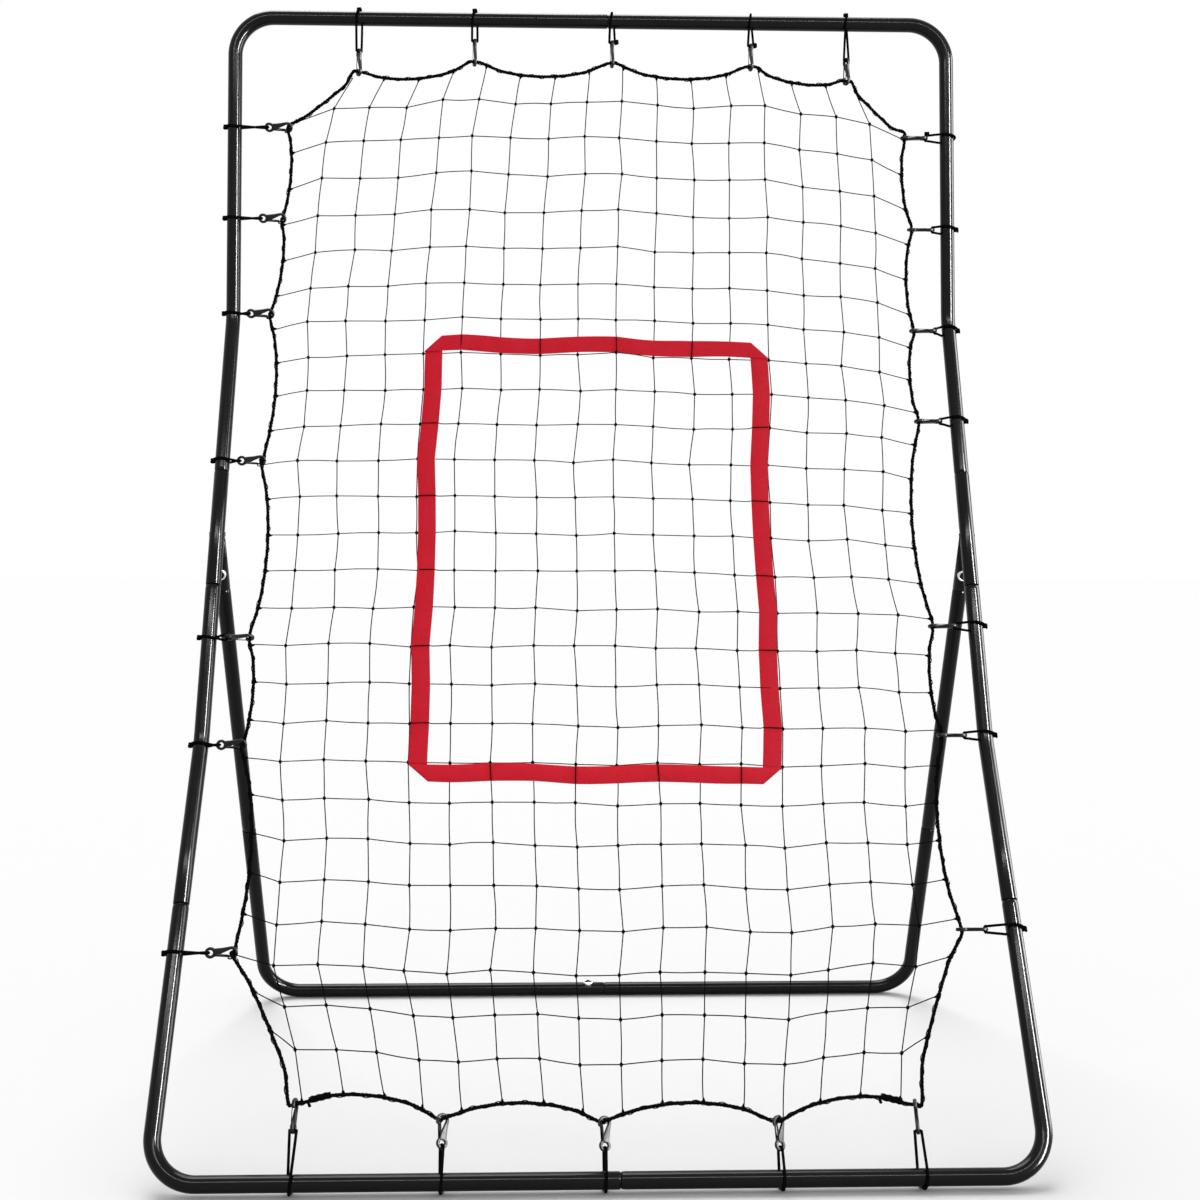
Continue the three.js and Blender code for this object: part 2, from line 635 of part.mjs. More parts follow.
// Moulded hook, cut as one flat outline: round eye, widening web and an open curl that holds the
// rope at x = reach
function mouldedHook(reach) {
  const eyeX = reach - HOOK_EYE_FROM_ROPE;
  const half = HOOK_WIRE / 2;
  const curl = ROPE_CORNER_R + HOOK_ROPE_CLEARANCE + half;
  const eyeAngles = [40, 85, 135, 180, 225, 275, 320].map(degrees);
  const curlAngles = [115, 90, 45, 0, -45, -80, -110].map(degrees);
  const curlPoint = (radius) => (angle) => new THREE.Vector2(
    reach + radius * Math.cos(angle),
    radius * Math.sin(angle),
  );
  const outline = new THREE.Shape([
    ...eyeAngles.map((angle) => new THREE.Vector2(
      eyeX + HOOK_EYE_OUTER * Math.cos(angle),
      HOOK_EYE_OUTER * Math.sin(angle),
    )),
    ...curlAngles.map(curlPoint(curl - half)),
    ...curlAngles.map(curlPoint(curl + half)).reverse(),
  ]);
  const hole = flatsAt(HOOK_EYE_HOLE, 6).map((point) => point.setX(point.x + eyeX));
  outline.holes.push(new THREE.Path(hole.reverse()));
  const plate = new THREE.ExtrudeGeometry(outline, { depth: HOOK_THICKNESS, steps: 1, bevelEnabled: false });
  return plate.translate(0, 0, -HOOK_THICKNESS / 2);
}

for (const tie of ties) {
  const hook = mouldedHook(tie.reach).rotateX(degrees(tie.twist));
  const mesh = addPart(tie.name, joined(hook, cordLoop(tie.reach)), blackNylon);
  mesh.quaternion.setFromRotationMatrix(axesTurn(tie.towards, tie.tubeWay, tie.across));
  mesh.position.copy(tie.root);
}

// ---- Border rope --------------------------------------------------------------------------

const ropeHolds = ties.map((tie) => tie.root.clone().addScaledVector(tie.towards, tie.reach));
const netCentre = framePoint(0, SIDE_LENGTH / 2);

// Around the net the ties run bottom left to right, right upwards, then back along the top and
// down the left, so the lists for the top and left are taken backwards
const aroundOrder = [
  ...ties.filter((tie) => tie.edge === 'bottom'),
  ...ties.filter((tie) => tie.edge === 'right'),
  ...ties.filter((tie) => tie.edge === 'top').reverse(),
  ...ties.filter((tie) => tie.edge === 'left').reverse(),
];

const spans = aroundOrder.map((tie, index) => {
  const next = aroundOrder[(index + 1) % aroundOrder.length];
  const from = ropeHolds[ties.indexOf(tie)];
  const to = ropeHolds[ties.indexOf(next)];
  const corner = tie.edge !== next.edge;
  const bar = tie.edge === 'top' || tie.edge === 'bottom';
  const bow = corner ? CORNER_SPAN_BOW : bar ? BAR_SPAN_BOW : SIDE_SPAN_BOW;
  const middle = from.clone().add(to).multiplyScalar(0.5);
  const inward = corner ? netCentre.clone().sub(middle).normalize() : tie.towards;
  return { from, to, tie, inward, sag: bow * from.distanceTo(to) };
});

function spanPoint(span, share) {
  const point = span.from.clone().lerp(span.to, share);
  return point.addScaledVector(span.inward, 4 * span.sag * share * (1 - share));
}

// Through a flat-lying hook the rope dives from the front of the net to the back
function kinkAt(tie) {
  const dive = degrees(Math.max(0, 90 - HOOK_SKEW - tie.twist));
  const heading = tie.edge === 'top' || tie.edge === 'left' ? -1 : 1;
  return tie.tubeWay.clone().multiplyScalar(Math.cos(dive) * heading)
    .addScaledVector(tie.across, -Math.sin(dive) * heading);
}

// The rope's ends meet in the middle of the straight after the first tie
const ropeStations = spans.flatMap((span) => {
  const kink = kinkAt(span.tie).multiplyScalar(ROPE_KINK);
  return [
    span.from.clone().sub(kink),
    span.from.clone(),
    span.from.clone().add(kink),
    ...ROPE_SHARES.map((share) => spanPoint(span, share)),
  ];
});
const stationsPerSpan = 3 + ROPE_SHARES.length;

function straightAfter(index) {
  const from = ropeStations[index];
  const to = ropeStations[index + 1];
  return { middle: from.clone().add(to).multiplyScalar(0.5), way: to.clone().sub(from).normalize() };
}

const ropeJoin = straightAfter(2);
const ropeMend = straightAfter(stationsPerSpan * MEND_SPAN + stationsPerSpan - 1);
const ropePoints = [
  ropeJoin.middle.clone().addScaledVector(ropeJoin.way, CORD_GAP),
  ...ropeStations.slice(3),
  ...ropeStations.slice(0, 3),
  ropeJoin.middle.clone().addScaledVector(ropeJoin.way, -CORD_GAP),
];
addPart(
  'border_rope',
  sweep(new THREE.Shape(polygon(ROPE_CORNER_R, ROPE_SIDES)), ropePoints, smoothTangents(ropePoints), Y),
  blackRope,
);

// Whipped sleeves: one over the rope's joined ends, one over a mend
function whipping({ middle, way }) {
  const half = way.clone().multiplyScalar(WHIPPING_LENGTH / 2);
  const inner = ROPE_CORNER_R + CORD_GAP;
  const points = [middle.clone().sub(half), middle.clone().add(half)];
  return sweep(ringShape(inner + WHIPPING_WALL, inner, 8), points, [way, way], Y);
}

addPart('rope_join_whipping', whipping(ropeJoin), blackTwine);
addPart('rope_mend_whipping', whipping(ropeMend), blackTwine);

// ---- Net ----------------------------------------------------------------------------------

const SPAN_SAMPLES = 12;

function edgeOutline(firstSpan, lastSpan) {
  const points = [];
  for (let index = firstSpan; index <= lastSpan; index += 1) {
    const span = spans[(index + spans.length) % spans.length];
    const corner = MESH_CORNERS[span.tie.edge];
    const from = index === firstSpan ? corner : 0;
    const to = index === lastSpan ? corner : 1;
    const start = points.length ? 1 : 0;
    for (let step = start; step <= SPAN_SAMPLES; step += 1) {
      points.push(spanPoint(span, from + ((to - from) * step) / SPAN_SAMPLES));
    }
  }
  return points;
}

function spacedAlong(points, parts) {
  const lengths = [0];
  for (let k = 1; k < points.length; k += 1) lengths.push(lengths[k - 1] + points[k].distanceTo(points[k - 1]));
  const total = lengths.at(-1);
  return Array.from({ length: parts + 1 }, (_, part) => {
    const wanted = (total * part) / parts;
    const k = Math.max(1, lengths.findIndex((length) => length >= wanted - 1e-9));
    return points[k - 1].clone().lerp(points[k], (wanted - lengths[k - 1]) / (lengths[k] - lengths[k - 1]));
  });
}

const bottomCount = BOTTOM_TIES.length;
const rightCount = bottomCount + RIGHT_TIES.length;
const topCount = rightCount + TOP_TIES.length;
const bottomEdge = spacedAlong(edgeOutline(-1, bottomCount - 1), NET_COLUMNS);
const rightEdge = spacedAlong(edgeOutline(bottomCount - 1, rightCount - 1), NET_ROWS);
const topEdge = spacedAlong(edgeOutline(rightCount - 1, topCount - 1), NET_COLUMNS).reverse();
const leftEdge = spacedAlong(edgeOutline(topCount - 1, spans.length - 1), NET_ROWS).reverse();

// Knot places that divide the net evenly between its four edges
function dividedKnots() {
  return Array.from({ length: NET_COLUMNS + 1 }, (_, i) => Array.from({ length: NET_ROWS + 1 }, (__, j) => {
    const u = i / NET_COLUMNS;
    const v = j / NET_ROWS;
    const across = leftEdge[j].clone().lerp(rightEdge[j], u);
    const upwards = bottomEdge[i].clone().lerp(topEdge[i], v);
    const low = bottomEdge[0].clone().lerp(bottomEdge[NET_COLUMNS], u);
    const high = topEdge[0].clone().lerp(topEdge[NET_COLUMNS], u);
    return across.add(upwards).sub(low.lerp(high, v));
  }));
}

// Knot places where the pulls of each knot's four neighbours balance
function balancedKnots(start) {
  const balanced = start.map((column) => column.map((knot) => knot.clone()));
  for (let round = 0; round < RELAX_ROUNDS; round += 1) {
    for (let i = 1; i < NET_COLUMNS; i += 1) {
      for (let j = 1; j < NET_ROWS; j += 1) {
        balanced[i][j] = new THREE.Vector3()
          .add(balanced[i - 1][j])
          .add(balanced[i + 1][j])
          .add(balanced[i][j - 1])
          .add(balanced[i][j + 1])
          .multiplyScalar(0.25);
      }
    }
  }
  return balanced;
}

const divided = dividedKnots();
const balanced = balancedKnots(divided);
const knots = divided.map((column, i) => column.map((knot, j) => knot.clone().lerp(balanced[i][j], PULL_SHARE)));

function netPoint(column, row) {
  const i = THREE.MathUtils.clamp(Math.floor(column), 0, NET_COLUMNS - 1);
  const j = THREE.MathUtils.clamp(Math.floor(row), 0, NET_ROWS - 1);
  const low = knots[i][j].clone().lerp(knots[i + 1][j], column - i);
  const high = knots[i][j + 1].clone().lerp(knots[i + 1][j + 1], column - i);
  return low.lerp(high, row - j);
}

function netFront(column, row) {
  const across = netPoint(Math.min(column + 0.5, NET_COLUMNS), row).sub(netPoint(Math.max(column - 0.5, 0), row));
  const upwards = netPoint(column, Math.min(row + 0.5, NET_ROWS)).sub(netPoint(column, Math.max(row - 0.5, 0)));
  return across.cross(upwards).normalize();
}

// Thin panel that stands for the twine mesh, drawn in from the border rope
function netPanel() {
  const panel = new THREE.BoxGeometry(1, 1, 1, NET_COLUMNS, NET_ROWS, 1);
  const place = panel.attributes.position;
  for (let k = 0; k < place.count; k += 1) {
    const i = Math.round((place.getX(k) + 0.5) * NET_COLUMNS);
    const j = Math.round((place.getY(k) + 0.5) * NET_ROWS);
    const point = knots[i][j].clone();
    const innerI = THREE.MathUtils.clamp(i, 1, NET_COLUMNS - 1);
    const innerJ = THREE.MathUtils.clamp(j, 1, NET_ROWS - 1);
    if (innerI !== i || innerJ !== j) {
      point.addScaledVector(knots[innerI][innerJ].clone().sub(point).normalize(), NET_EDGE_INSET);
    }
    point.addScaledVector(netFront(innerI, innerJ), place.getZ(k) * NET_THICKNESS);
    place.setXYZ(k, point.x, point.y, point.z);
  }
  return geometryOf(solidOf(panel));
}

addPart('net_panel', netPanel(), blackTwine);

// ---- Strike-zone webbing ------------------------------------------------------------------

// A flat strap outline laid on the front of the net: column and row at each corner of the strap
function strap(corners, lengthSteps) {
  const [startA, endA, startB, endB] = corners;
  const flat = new THREE.BoxGeometry(1, 1, 1, lengthSteps, 1, 1);
  const place = flat.attributes.position;
  for (let k = 0; k < place.count; k += 1) {
    const along = place.getX(k) + 0.5;
    const acrossShare = place.getY(k) + 0.5;
    const lowEdge = [startA[0] + (endA[0] - startA[0]) * along, startA[1] + (endA[1] - startA[1]) * along];
    const highEdge = [startB[0] + (endB[0] - startB[0]) * along, startB[1] + (endB[1] - startB[1]) * along];
    const column = lowEdge[0] + (highEdge[0] - lowEdge[0]) * acrossShare;
    const row = lowEdge[1] + (highEdge[1] - lowEdge[1]) * acrossShare;
    const lift = NET_THICKNESS / 2 + WEBBING_CLEARANCE + WEBBING_THICKNESS * (place.getZ(k) + 0.5);
    const point = netPoint(column, row).addScaledVector(netFront(column, row), lift);
    place.setXYZ(k, point.x, point.y, point.z);
  }
  return flat;
}

const meshPitch = netPoint(9, 13).distanceTo(netPoint(8, 13));
const band = WEBBING_WIDTH / meshPitch;
const slit = CORD_GAP / meshPitch;
const [zoneLeft, zoneRight] = ZONE_COLUMNS;
const [zoneLow, zoneHigh] = ZONE_ROWS;
const zoneAcross = 2 * (zoneRight - zoneLeft);
const zoneUp = 2 * (zoneHigh - zoneLow);
const straps = {
  strike_strap_top: [[
    [zoneLeft, zoneHigh + slit], [zoneRight, zoneHigh + slit],
    [zoneLeft + band, zoneHigh + band], [zoneRight - band, zoneHigh + band],
  ], zoneAcross],
  strike_strap_bottom: [[
    [zoneLeft + band, zoneLow - band], [zoneRight - band, zoneLow - band],
    [zoneLeft, zoneLow - slit], [zoneRight, zoneLow - slit],
  ], zoneAcross],
  strike_strap_left: [[
    [zoneLeft + band, zoneLow], [zoneLeft + band, zoneHigh],
    [zoneLeft, zoneLow], [zoneLeft, zoneHigh],
  ], zoneUp],
  strike_strap_right: [[
    [zoneRight, zoneLow], [zoneRight, zoneHigh],
    [zoneRight - band, zoneLow], [zoneRight - band, zoneHigh],
  ], zoneUp],
};
for (const [name, [corners, steps]] of Object.entries(straps)) addPart(name, strap(corners, steps), redWebbing);

export default whole;
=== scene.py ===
"""Looks of the pitching target net: painted tubes, knotted mesh, laid rope, webbing and hook ties.

Lengths are in millimetres until a piece is made; pieces are made in metres.
Points on the net's surface are given as (x, along), where along is the distance up the frame's
side from the bottom bar, or as (column, row) of the mesh.
"""

import math

import bmesh
import bpy
import numpy as np
from mathutils import Matrix, Vector


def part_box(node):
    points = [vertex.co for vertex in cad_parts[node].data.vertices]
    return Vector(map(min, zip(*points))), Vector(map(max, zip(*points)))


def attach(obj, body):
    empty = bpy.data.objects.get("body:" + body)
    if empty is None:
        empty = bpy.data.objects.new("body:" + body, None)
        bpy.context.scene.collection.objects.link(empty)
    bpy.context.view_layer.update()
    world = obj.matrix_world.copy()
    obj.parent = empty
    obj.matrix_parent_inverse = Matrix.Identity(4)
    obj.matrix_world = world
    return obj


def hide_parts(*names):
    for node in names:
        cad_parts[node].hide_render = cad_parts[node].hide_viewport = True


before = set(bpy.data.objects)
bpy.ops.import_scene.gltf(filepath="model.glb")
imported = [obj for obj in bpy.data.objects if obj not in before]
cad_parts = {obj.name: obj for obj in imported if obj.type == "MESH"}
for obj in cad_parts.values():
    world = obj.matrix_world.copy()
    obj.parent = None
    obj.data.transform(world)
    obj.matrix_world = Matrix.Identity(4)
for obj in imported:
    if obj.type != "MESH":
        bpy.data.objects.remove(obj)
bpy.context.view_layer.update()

# ---- Driving sizes, the same as the CAD model's ---------------------------------------------

MM = 0.001
TUBE_RADIUS = 8.75
TUBE_WALL = 1.2
HALF_WIDTH = 914 / 2 - TUBE_RADIUS
# Runs of the side tube from the bottom bar up: length, lean back from upright in degrees
RUNS = [(478, 32.8), (539, 21.8), (379, 5.1)]
CORNER_RADIUS = 48
BEND_RADIUS = 90
SPIGOT_LENGTH = 40
SPIGOT_RADIUS = 7.0
SEAM_GAP = 0.5
LOWER_SEAM = 285
CONNECTOR = (664, 808)
BRANCH_HEIGHT = 730
FRONT_BAR_SEAM = 18
REAR_BAR_SEAM = 21
STAND_LEAN = 23.6
BRANCH_LENGTH = 73
LEG_SEAM = 426
BUTTON_FROM_SEAM = 22
WASHER_RADIUS = 7.2
WASHER_RISE = 1.6
WASHER_RIM = 1.9
BUTTON_HOLE = 3.7
BUTTON_RADIUS = 3.3
BUTTON_PROUD = 3.6

CORD_RADIUS = 1.5
CORD_WRAP_RADIUS = TUBE_RADIUS + CORD_RADIUS + 0.25
EYE_FROM_ROPE = 24
EYE_OUTER = 6.0
EYE_HOLE = 2.9
HOOK_THICKNESS = 3.6
HOOK_CURL = 5.2
HOOK_WIRE = 3.3
HOOK_TIP = -112
HOOK_BALL = 2.2
HOOK_SKEW = 12

ROPE_RADIUS = 1.8
ROPE_KINK = 7
ROPE_STEP = 1.45
TWINE_RADIUS = 0.62
NET_COLUMNS = 17
NET_ROWS = 27
WEBBING_WIDTH = 22
WEBBING_THICKNESS = 1.3
WEBBING_LIFT = 1.1
ZONE_COLUMNS = (4, 13)
ZONE_ROWS = (8, 19)
WHIPPING_LENGTH = 22

# Ties as (place along the bar or up the side, reach from tube axis to rope, twist in degrees)
TIES = {
    "bottom": [(-309, 77, 80), (-160, 61, 30), (3, 57, 20), (179, 56, 30), (320, 71, 75)],
    "right": [
        (253, 58, 75), (482, 51, 80), (614, 51, 85), (879, 48, 80),
        (1004, 45, 75), (1134, 46, 80), (1251, 54, 85),
    ],
    "top": [(-294, 68, 60), (-149, 54, 75), (24, 54, 80), (199.5, 56.2, 78), (321, 73, 65)],
    "left": [
        (232, 61, 25), (472, 47, 30), (600, 47, 80), (823, 47, 20),
        (1022, 46, 35), (1142, 60, 25), (1257, 67, 35),
    ],
}
BAR_BOW = 0.1
SIDE_BOW = 0.06
CORNER_BOW = 0.03

# Twines that pass in front of the webbing; all others pass behind it
FRONT_OF_TOP = (5, 7, 9, 11)
FRONT_OF_BOTTOM = (6, 8, 10, 12)
FRONT_OF_SIDES = (9, 11, 13, 15, 17)

X, Y, Z = np.eye(3)
random = np.random.default_rng(7)


def unit(vector):
    return vector / np.linalg.norm(vector)


def spoke(angle, first, second):
    """Direction at an angle from the first of two square directions towards the second."""
    return math.cos(angle) * first + math.sin(angle) * second


def show(piece):
    bpy.context.scene.collection.objects.link(piece)


def uphill(lean):
    return np.array([0, math.sin(math.radians(lean)), math.cos(math.radians(lean))])


# ---- Places taken from the CAD frame --------------------------------------------------------

low, high = (np.array(corner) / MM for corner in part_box("bottom_corner_tube_left"))
FRONT_BAR = np.array([0, low[1] + TUBE_RADIUS, low[2] + TUBE_RADIUS])
low, high = (np.array(corner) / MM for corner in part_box("stand_foot_tube_right"))
REAR_BAR = np.array([0, high[1] - TUBE_RADIUS, low[2] + TUBE_RADIUS])

BENDS = []
start = 0
for (length, before), (_, after) in zip(RUNS, RUNS[1:]):
    start += length
    BENDS.append((start, before, after, BEND_RADIUS * math.tan(math.radians(before - after) / 2)))
SIDE_LENGTH = sum(length for length, _ in RUNS)


def lean_at(along):
    for at, before, after, reach in BENDS:
        if abs(along - at) < reach:
            return before + (after - before) * (along - at + reach) / (2 * reach)
    travelled = 0
    for length, lean in RUNS:
        travelled += length
        if along <= travelled:
            return lean
    return RUNS[-1][1]


def frame_point(x, along):
    """Point of the leaning frame's centre surface."""
    point = FRONT_BAR + X * x
    travelled = 0
    for length, lean in RUNS:
        part = along if travelled == 0 and along < 0 else min(max(along - travelled, 0), length)
        point = point + uphill(lean) * part
        travelled += length
    for at, before, after, reach in BENDS:
        into = max(0.0, reach - abs(along - at))
        outside = np.cross(uphill((before + after) / 2), X)
        point = point - outside * into * into / (2 * BEND_RADIUS)
    return point


BRANCH_POINT = frame_point(0, BRANCH_HEIGHT)
LEG_WAY = np.array([0, math.sin(math.radians(STAND_LEAN)), -math.cos(math.radians(STAND_LEAN))])
LEG_FRONT = np.cross(LEG_WAY, X)
LEG_LENGTH = (BRANCH_POINT[2] - REAR_BAR[2]) / math.cos(math.radians(STAND_LEAN))

# ---- Camera and stage -----------------------------------------------------------------------

CAMERA_PLACE = FRONT_BAR + np.array([-47.5, -1494.4, 660.4])
CAMERA_YAW = 1.675
CAMERA_PITCH = 3.229
CAMERA_ROLL = 0.147
CAMERA_LENS = 46.33


def make_camera():
    yaw, pitch, roll = (math.radians(a) for a in (CAMERA_YAW, CAMERA_PITCH, CAMERA_ROLL))
    forward = np.array([math.sin(yaw) * math.cos(pitch), math.cos(yaw) * math.cos(pitch), -math.sin(pitch)])
    level = np.array([math.cos(yaw), -math.sin(yaw), 0])
    upright = np.cross(level, forward)
    right = math.cos(roll) * level + math.sin(roll) * upright
    up = math.cos(roll) * upright - math.sin(roll) * level
    data = bpy.data.cameras.new("camera")
    data.lens = CAMERA_LENS
    data.sensor_width = 36
    data.sensor_fit = "HORIZONTAL"
    camera = bpy.data.objects.new("camera", data)
    turn = Matrix((right, up, -forward)).transposed()
    camera.matrix_world = Matrix.Translation(Vector(CAMERA_PLACE * MM)) @ turn.to_4x4()
    show(camera)
    bpy.context.scene.camera = camera


make_camera()

# ---- Materials ------------------------------------------------------------------------------


def srgb(code):
    """Linear colour from a hex code such as 1A1A1A."""
    parts = [int(code[k : k + 2], 16) / 255 for k in (0, 2, 4)]
    linear = [c / 12.92 if c <= 0.04045 else ((c + 0.055) / 1.055) ** 2.4 for c in parts]
    return (*linear, 1.0)


def add_node(tree, kind, **settings):
    """Adds a node; settings name its properties, or its inputs by name or by number as _0."""
    node = tree.nodes.new(kind)
    for key, value in settings.items():
        if key.startswith("_"):
            socket = node.inputs[int(key[1:])]
        elif key in node.inputs:
            socket = node.inputs[key]
        elif key.replace("_", " ") in node.inputs:
            socket = node.inputs[key.replace("_", " ")]
        else:
            setattr(node, key, value)
            continue
        if isinstance(value, bpy.types.NodeSocket):
            tree.links.new(value, socket)
        else:
            socket.default_value = value
    return node


def math_node(tree, operation, a, b=0.0):
    return add_node(tree, "ShaderNodeMath", operation=operation, _0=a, _1=b).outputs[0]


def ramp(tree, value, low, high):
    """Maps 0..1 to low..high."""
    return add_node(tree, "ShaderNodeMapRange", Value=value, To_Min=low, To_Max=high).outputs[0]


def blend_colour(tree, share, first, second):
    node = add_node(tree, "ShaderNodeMix", data_type="RGBA")
    for index, value in ((0, share), (6, first), (7, second)):
        if isinstance(value, bpy.types.NodeSocket):
            tree.links.new(value, node.inputs[index])
        else:
            node.inputs[index].default_value = value
    return node.outputs[2]


def noise(tree, size_mm, detail, stretch=None):
    """Noise with blobs of about the given size, in the piece's own space."""
    place = add_node(tree, "ShaderNodeTexCoord").outputs["Object"]
    if stretch:
        place = add_node(tree, "ShaderNodeMapping", Vector=place, Scale=stretch).outputs[0]
    return add_node(tree, "ShaderNodeTexNoise", Vector=place, Scale=1000 / size_mm, Detail=detail).outputs[0]


def new_material(name):
    material = bpy.data.materials.new(name)
    material.use_nodes = True
    tree = material.node_tree
    return material, tree, tree.nodes["Principled BSDF"]


def join_surface(tree, shader, **inputs):
    for key, value in inputs.items():
        socket = shader.inputs[key.replace("_", " ")]
        if isinstance(value, bpy.types.NodeSocket):
            tree.links.new(value, socket)
        else:
            socket.default_value = value


def bump(tree, height, depth_mm, strength, under=None):
    node = add_node(tree, "ShaderNodeBump", Height=height, Strength=strength, Distance=depth_mm * MM)
    if under is not None:
        tree.links.new(under, node.inputs["Normal"])
    return node.outputs[0]


def around_and_along(tree):
    """A swept piece's UV: turns round it, and metres along it."""
    split = add_node(tree, "ShaderNodeSeparateXYZ", Vector=add_node(tree, "ShaderNodeTexCoord").outputs["UV"])
    return split.outputs[0], split.outputs[1]


def wave(tree, turns, along, count, pitch_mm):
    """Sine stripes, 0..1, that wind round a swept piece: count stripes round it, one per pitch along it."""
    phase = math_node(tree, "ADD", math_node(tree, "MULTIPLY", turns, float(count)),
                      math_node(tree, "MULTIPLY", along, 1000 / pitch_mm))
    sine = math_node(tree, "SINE", math_node(tree, "MULTIPLY", phase, 2 * math.pi))
    return ramp(tree, math_node(tree, "MULTIPLY", math_node(tree, "ADD", sine, 1.0), 0.5), 0.0, 1.0)


def black_enamel():
    """Gloss black baked enamel on steel tube: faint orange peel, dust and dulled patches."""
    material, tree, shader = new_material("black_baked_enamel")
    peel = noise(tree, 2.4, 1.0)
    grain = noise(tree, 0.5, 3.0)
    patches = noise(tree, 60, 4.0)
    dull = math_node(tree, "MULTIPLY", patches, grain)
    join_surface(
        tree, shader,
        Base_Color=blend_colour(tree, dull, srgb("030303"), srgb("0C0C0D")),
        Roughness=ramp(tree, dull, 0.1, 0.34),
        Specular_IOR_Level=0.14,
        Normal=bump(tree, grain, 0.015, 0.5, bump(tree, peel, 0.05, 0.7)),
    )
    return material


def zinc_plate():
    """Bright zinc plate: cool grey with brushed marks."""
    material, tree, shader = new_material("bright_zinc_plate")
    cloud = noise(tree, 3, 3.0)
    marks = noise(tree, 0.4, 2.0, stretch=(1, 9, 1))
    join_surface(
        tree, shader,
        Base_Color=blend_colour(tree, cloud, srgb("C9CBCE"), srgb("F2F3F5")),
        Metallic=0.85,
        Roughness=ramp(tree, marks, 0.2, 0.42),
        Normal=bump(tree, marks, 0.02, 0.6),
    )
    return material


def spring_strip():
    """Blued spring strip inside the joints."""
    material, tree, shader = new_material("spring_strip")
    cloud = noise(tree, 4, 3.0)
    join_surface(
        tree, shader,
        Base_Color=blend_colour(tree, cloud, srgb("4A4C50"), srgb("7B7D80")),
        Metallic=1.0,
        Roughness=ramp(tree, cloud, 0.3, 0.5),
    )
    return material


def moulded_nylon():
    """Black moulded nylon of the hooks and buttons: satin, with fine mould texture and flow marks."""
    material, tree, shader = new_material("black_moulded_nylon")
    fine = noise(tree, 0.35, 3.0)
    flow = noise(tree, 7, 3.0)
    join_surface(
        tree, shader,
        Base_Color=blend_colour(tree, flow, srgb("050506"), srgb("101011")),
        Roughness=ramp(tree, flow, 0.3, 0.48),
        Specular_IOR_Level=0.18,
        Normal=bump(tree, fine, 0.04, 0.5),
    )
    return material


def braided_cord():
    """Black braided polyester sleeve over elastic: diamond braid and lint, matt."""
    material, tree, shader = new_material("black_braided_elastic")
    turns, along = around_and_along(tree)
    braid = math_node(tree, "MULTIPLY", wave(tree, turns, along, 4, 2.2), wave(tree, turns, along, -4, 2.2))
    lint = noise(tree, 0.6, 4.0)
    join_surface(
        tree, shader,
        Base_Color=blend_colour(
            tree, math_node(tree, "MULTIPLY", braid, lint), srgb("060606"), srgb("222224")),
        Roughness=0.82,
        Specular_IOR_Level=0.0,
        Normal=bump(tree, lint, 0.1, 0.5, bump(tree, braid, 0.3, 0.9)),
    )
    return material


def twisted_twine():
    """Black polyethylene net twine: hard-laid plies, matt."""
    material, tree, shader = new_material("black_net_twine")
    turns, along = around_and_along(tree)
    lay = wave(tree, turns, along, 2, 3.2)
    fibre = wave(tree, turns, along, 9, 2.4)
    lint = noise(tree, 0.5, 3.0)
    join_surface(
        tree, shader,
        Base_Color=blend_colour(tree, math_node(tree, "MULTIPLY", lay, lint), srgb("060606"), srgb("1E1E1F")),
        Roughness=ramp(tree, lint, 0.42, 0.7),
        Specular_IOR_Level=0.0,
        Normal=bump(tree, fibre, 0.05, 0.5, bump(tree, lay, 0.22, 1.0)),
    )
    return material


def rope_strand():
    """Black polyethylene rope strand: long fibres twisted against the rope's lay."""
    material, tree, shader = new_material("black_rope_strand")
    turns, along = around_and_along(tree)
    fibre = wave(tree, turns, along, -11, 3.6)
    lint = noise(tree, 0.7, 4.0)
    join_surface(
        tree, shader,
        Base_Color=blend_colour(
            tree, math_node(tree, "MULTIPLY", fibre, lint), srgb("050505"), srgb("202021")),
        Roughness=ramp(tree, lint, 0.5, 0.8),
        Specular_IOR_Level=0.0,
        Normal=bump(tree, lint, 0.1, 0.6, bump(tree, fibre, 0.12, 0.9)),
    )
    return material


def red_webbing():
    """Red flat-woven polyester webbing: ribs across, yarns along, slight dye variation, and painted weave
    shade, a darker red where ribs and yarns cross.
    """
    material, tree, shader = new_material("red_flat_webbing")
    split = add_node(tree, "ShaderNodeSeparateXYZ", Vector=add_node(tree, "ShaderNodeTexCoord").outputs["UV"])
    along, across = split.outputs[0], split.outputs[1]
    nothing = math_node(tree, "MULTIPLY", along, 0.0)
    ribs = wave(tree, nothing, along, 0, 1.5)
    yarns = wave(tree, nothing, across, 0, 0.9)
    weave = math_node(tree, "MULTIPLY", ribs, yarns)
    dye = noise(tree, 25, 4.0)
    lint = noise(tree, 0.6, 3.0)
    colour = blend_colour(tree, dye, srgb("C41828"), srgb("D12334"))
    # Painted shade of the weave: the dyed red is blended towards a darker red where the ribs and yarns cross
    painted_weave_shade = blend_colour(tree, math_node(tree, "MULTIPLY", weave, 0.5), colour, srgb("A61220"))
    join_surface(
        tree, shader,
        Base_Color=painted_weave_shade,
        Roughness=ramp(tree, lint, 0.6, 0.85),
        Specular_IOR_Level=0.02,
        Normal=bump(tree, lint, 0.06, 0.5, bump(tree, weave, 0.25, 0.9)),
    )
    return material


def pale_floor():
    """Matt pale studio floor, with no shine for the lamps to show in."""
    material, tree, shader = new_material("pale_floor")
    join_surface(tree, shader, Base_Color=srgb("C6C6C6"), Roughness=0.9, Specular_IOR_Level=0.0)
    return material


# ---- Building pieces ------------------------------------------------------------------------


def distances(line):
    """Distance travelled along a line at each of its points."""
    return np.concatenate([[0], np.cumsum(np.linalg.norm(np.diff(line, axis=0), axis=1))])


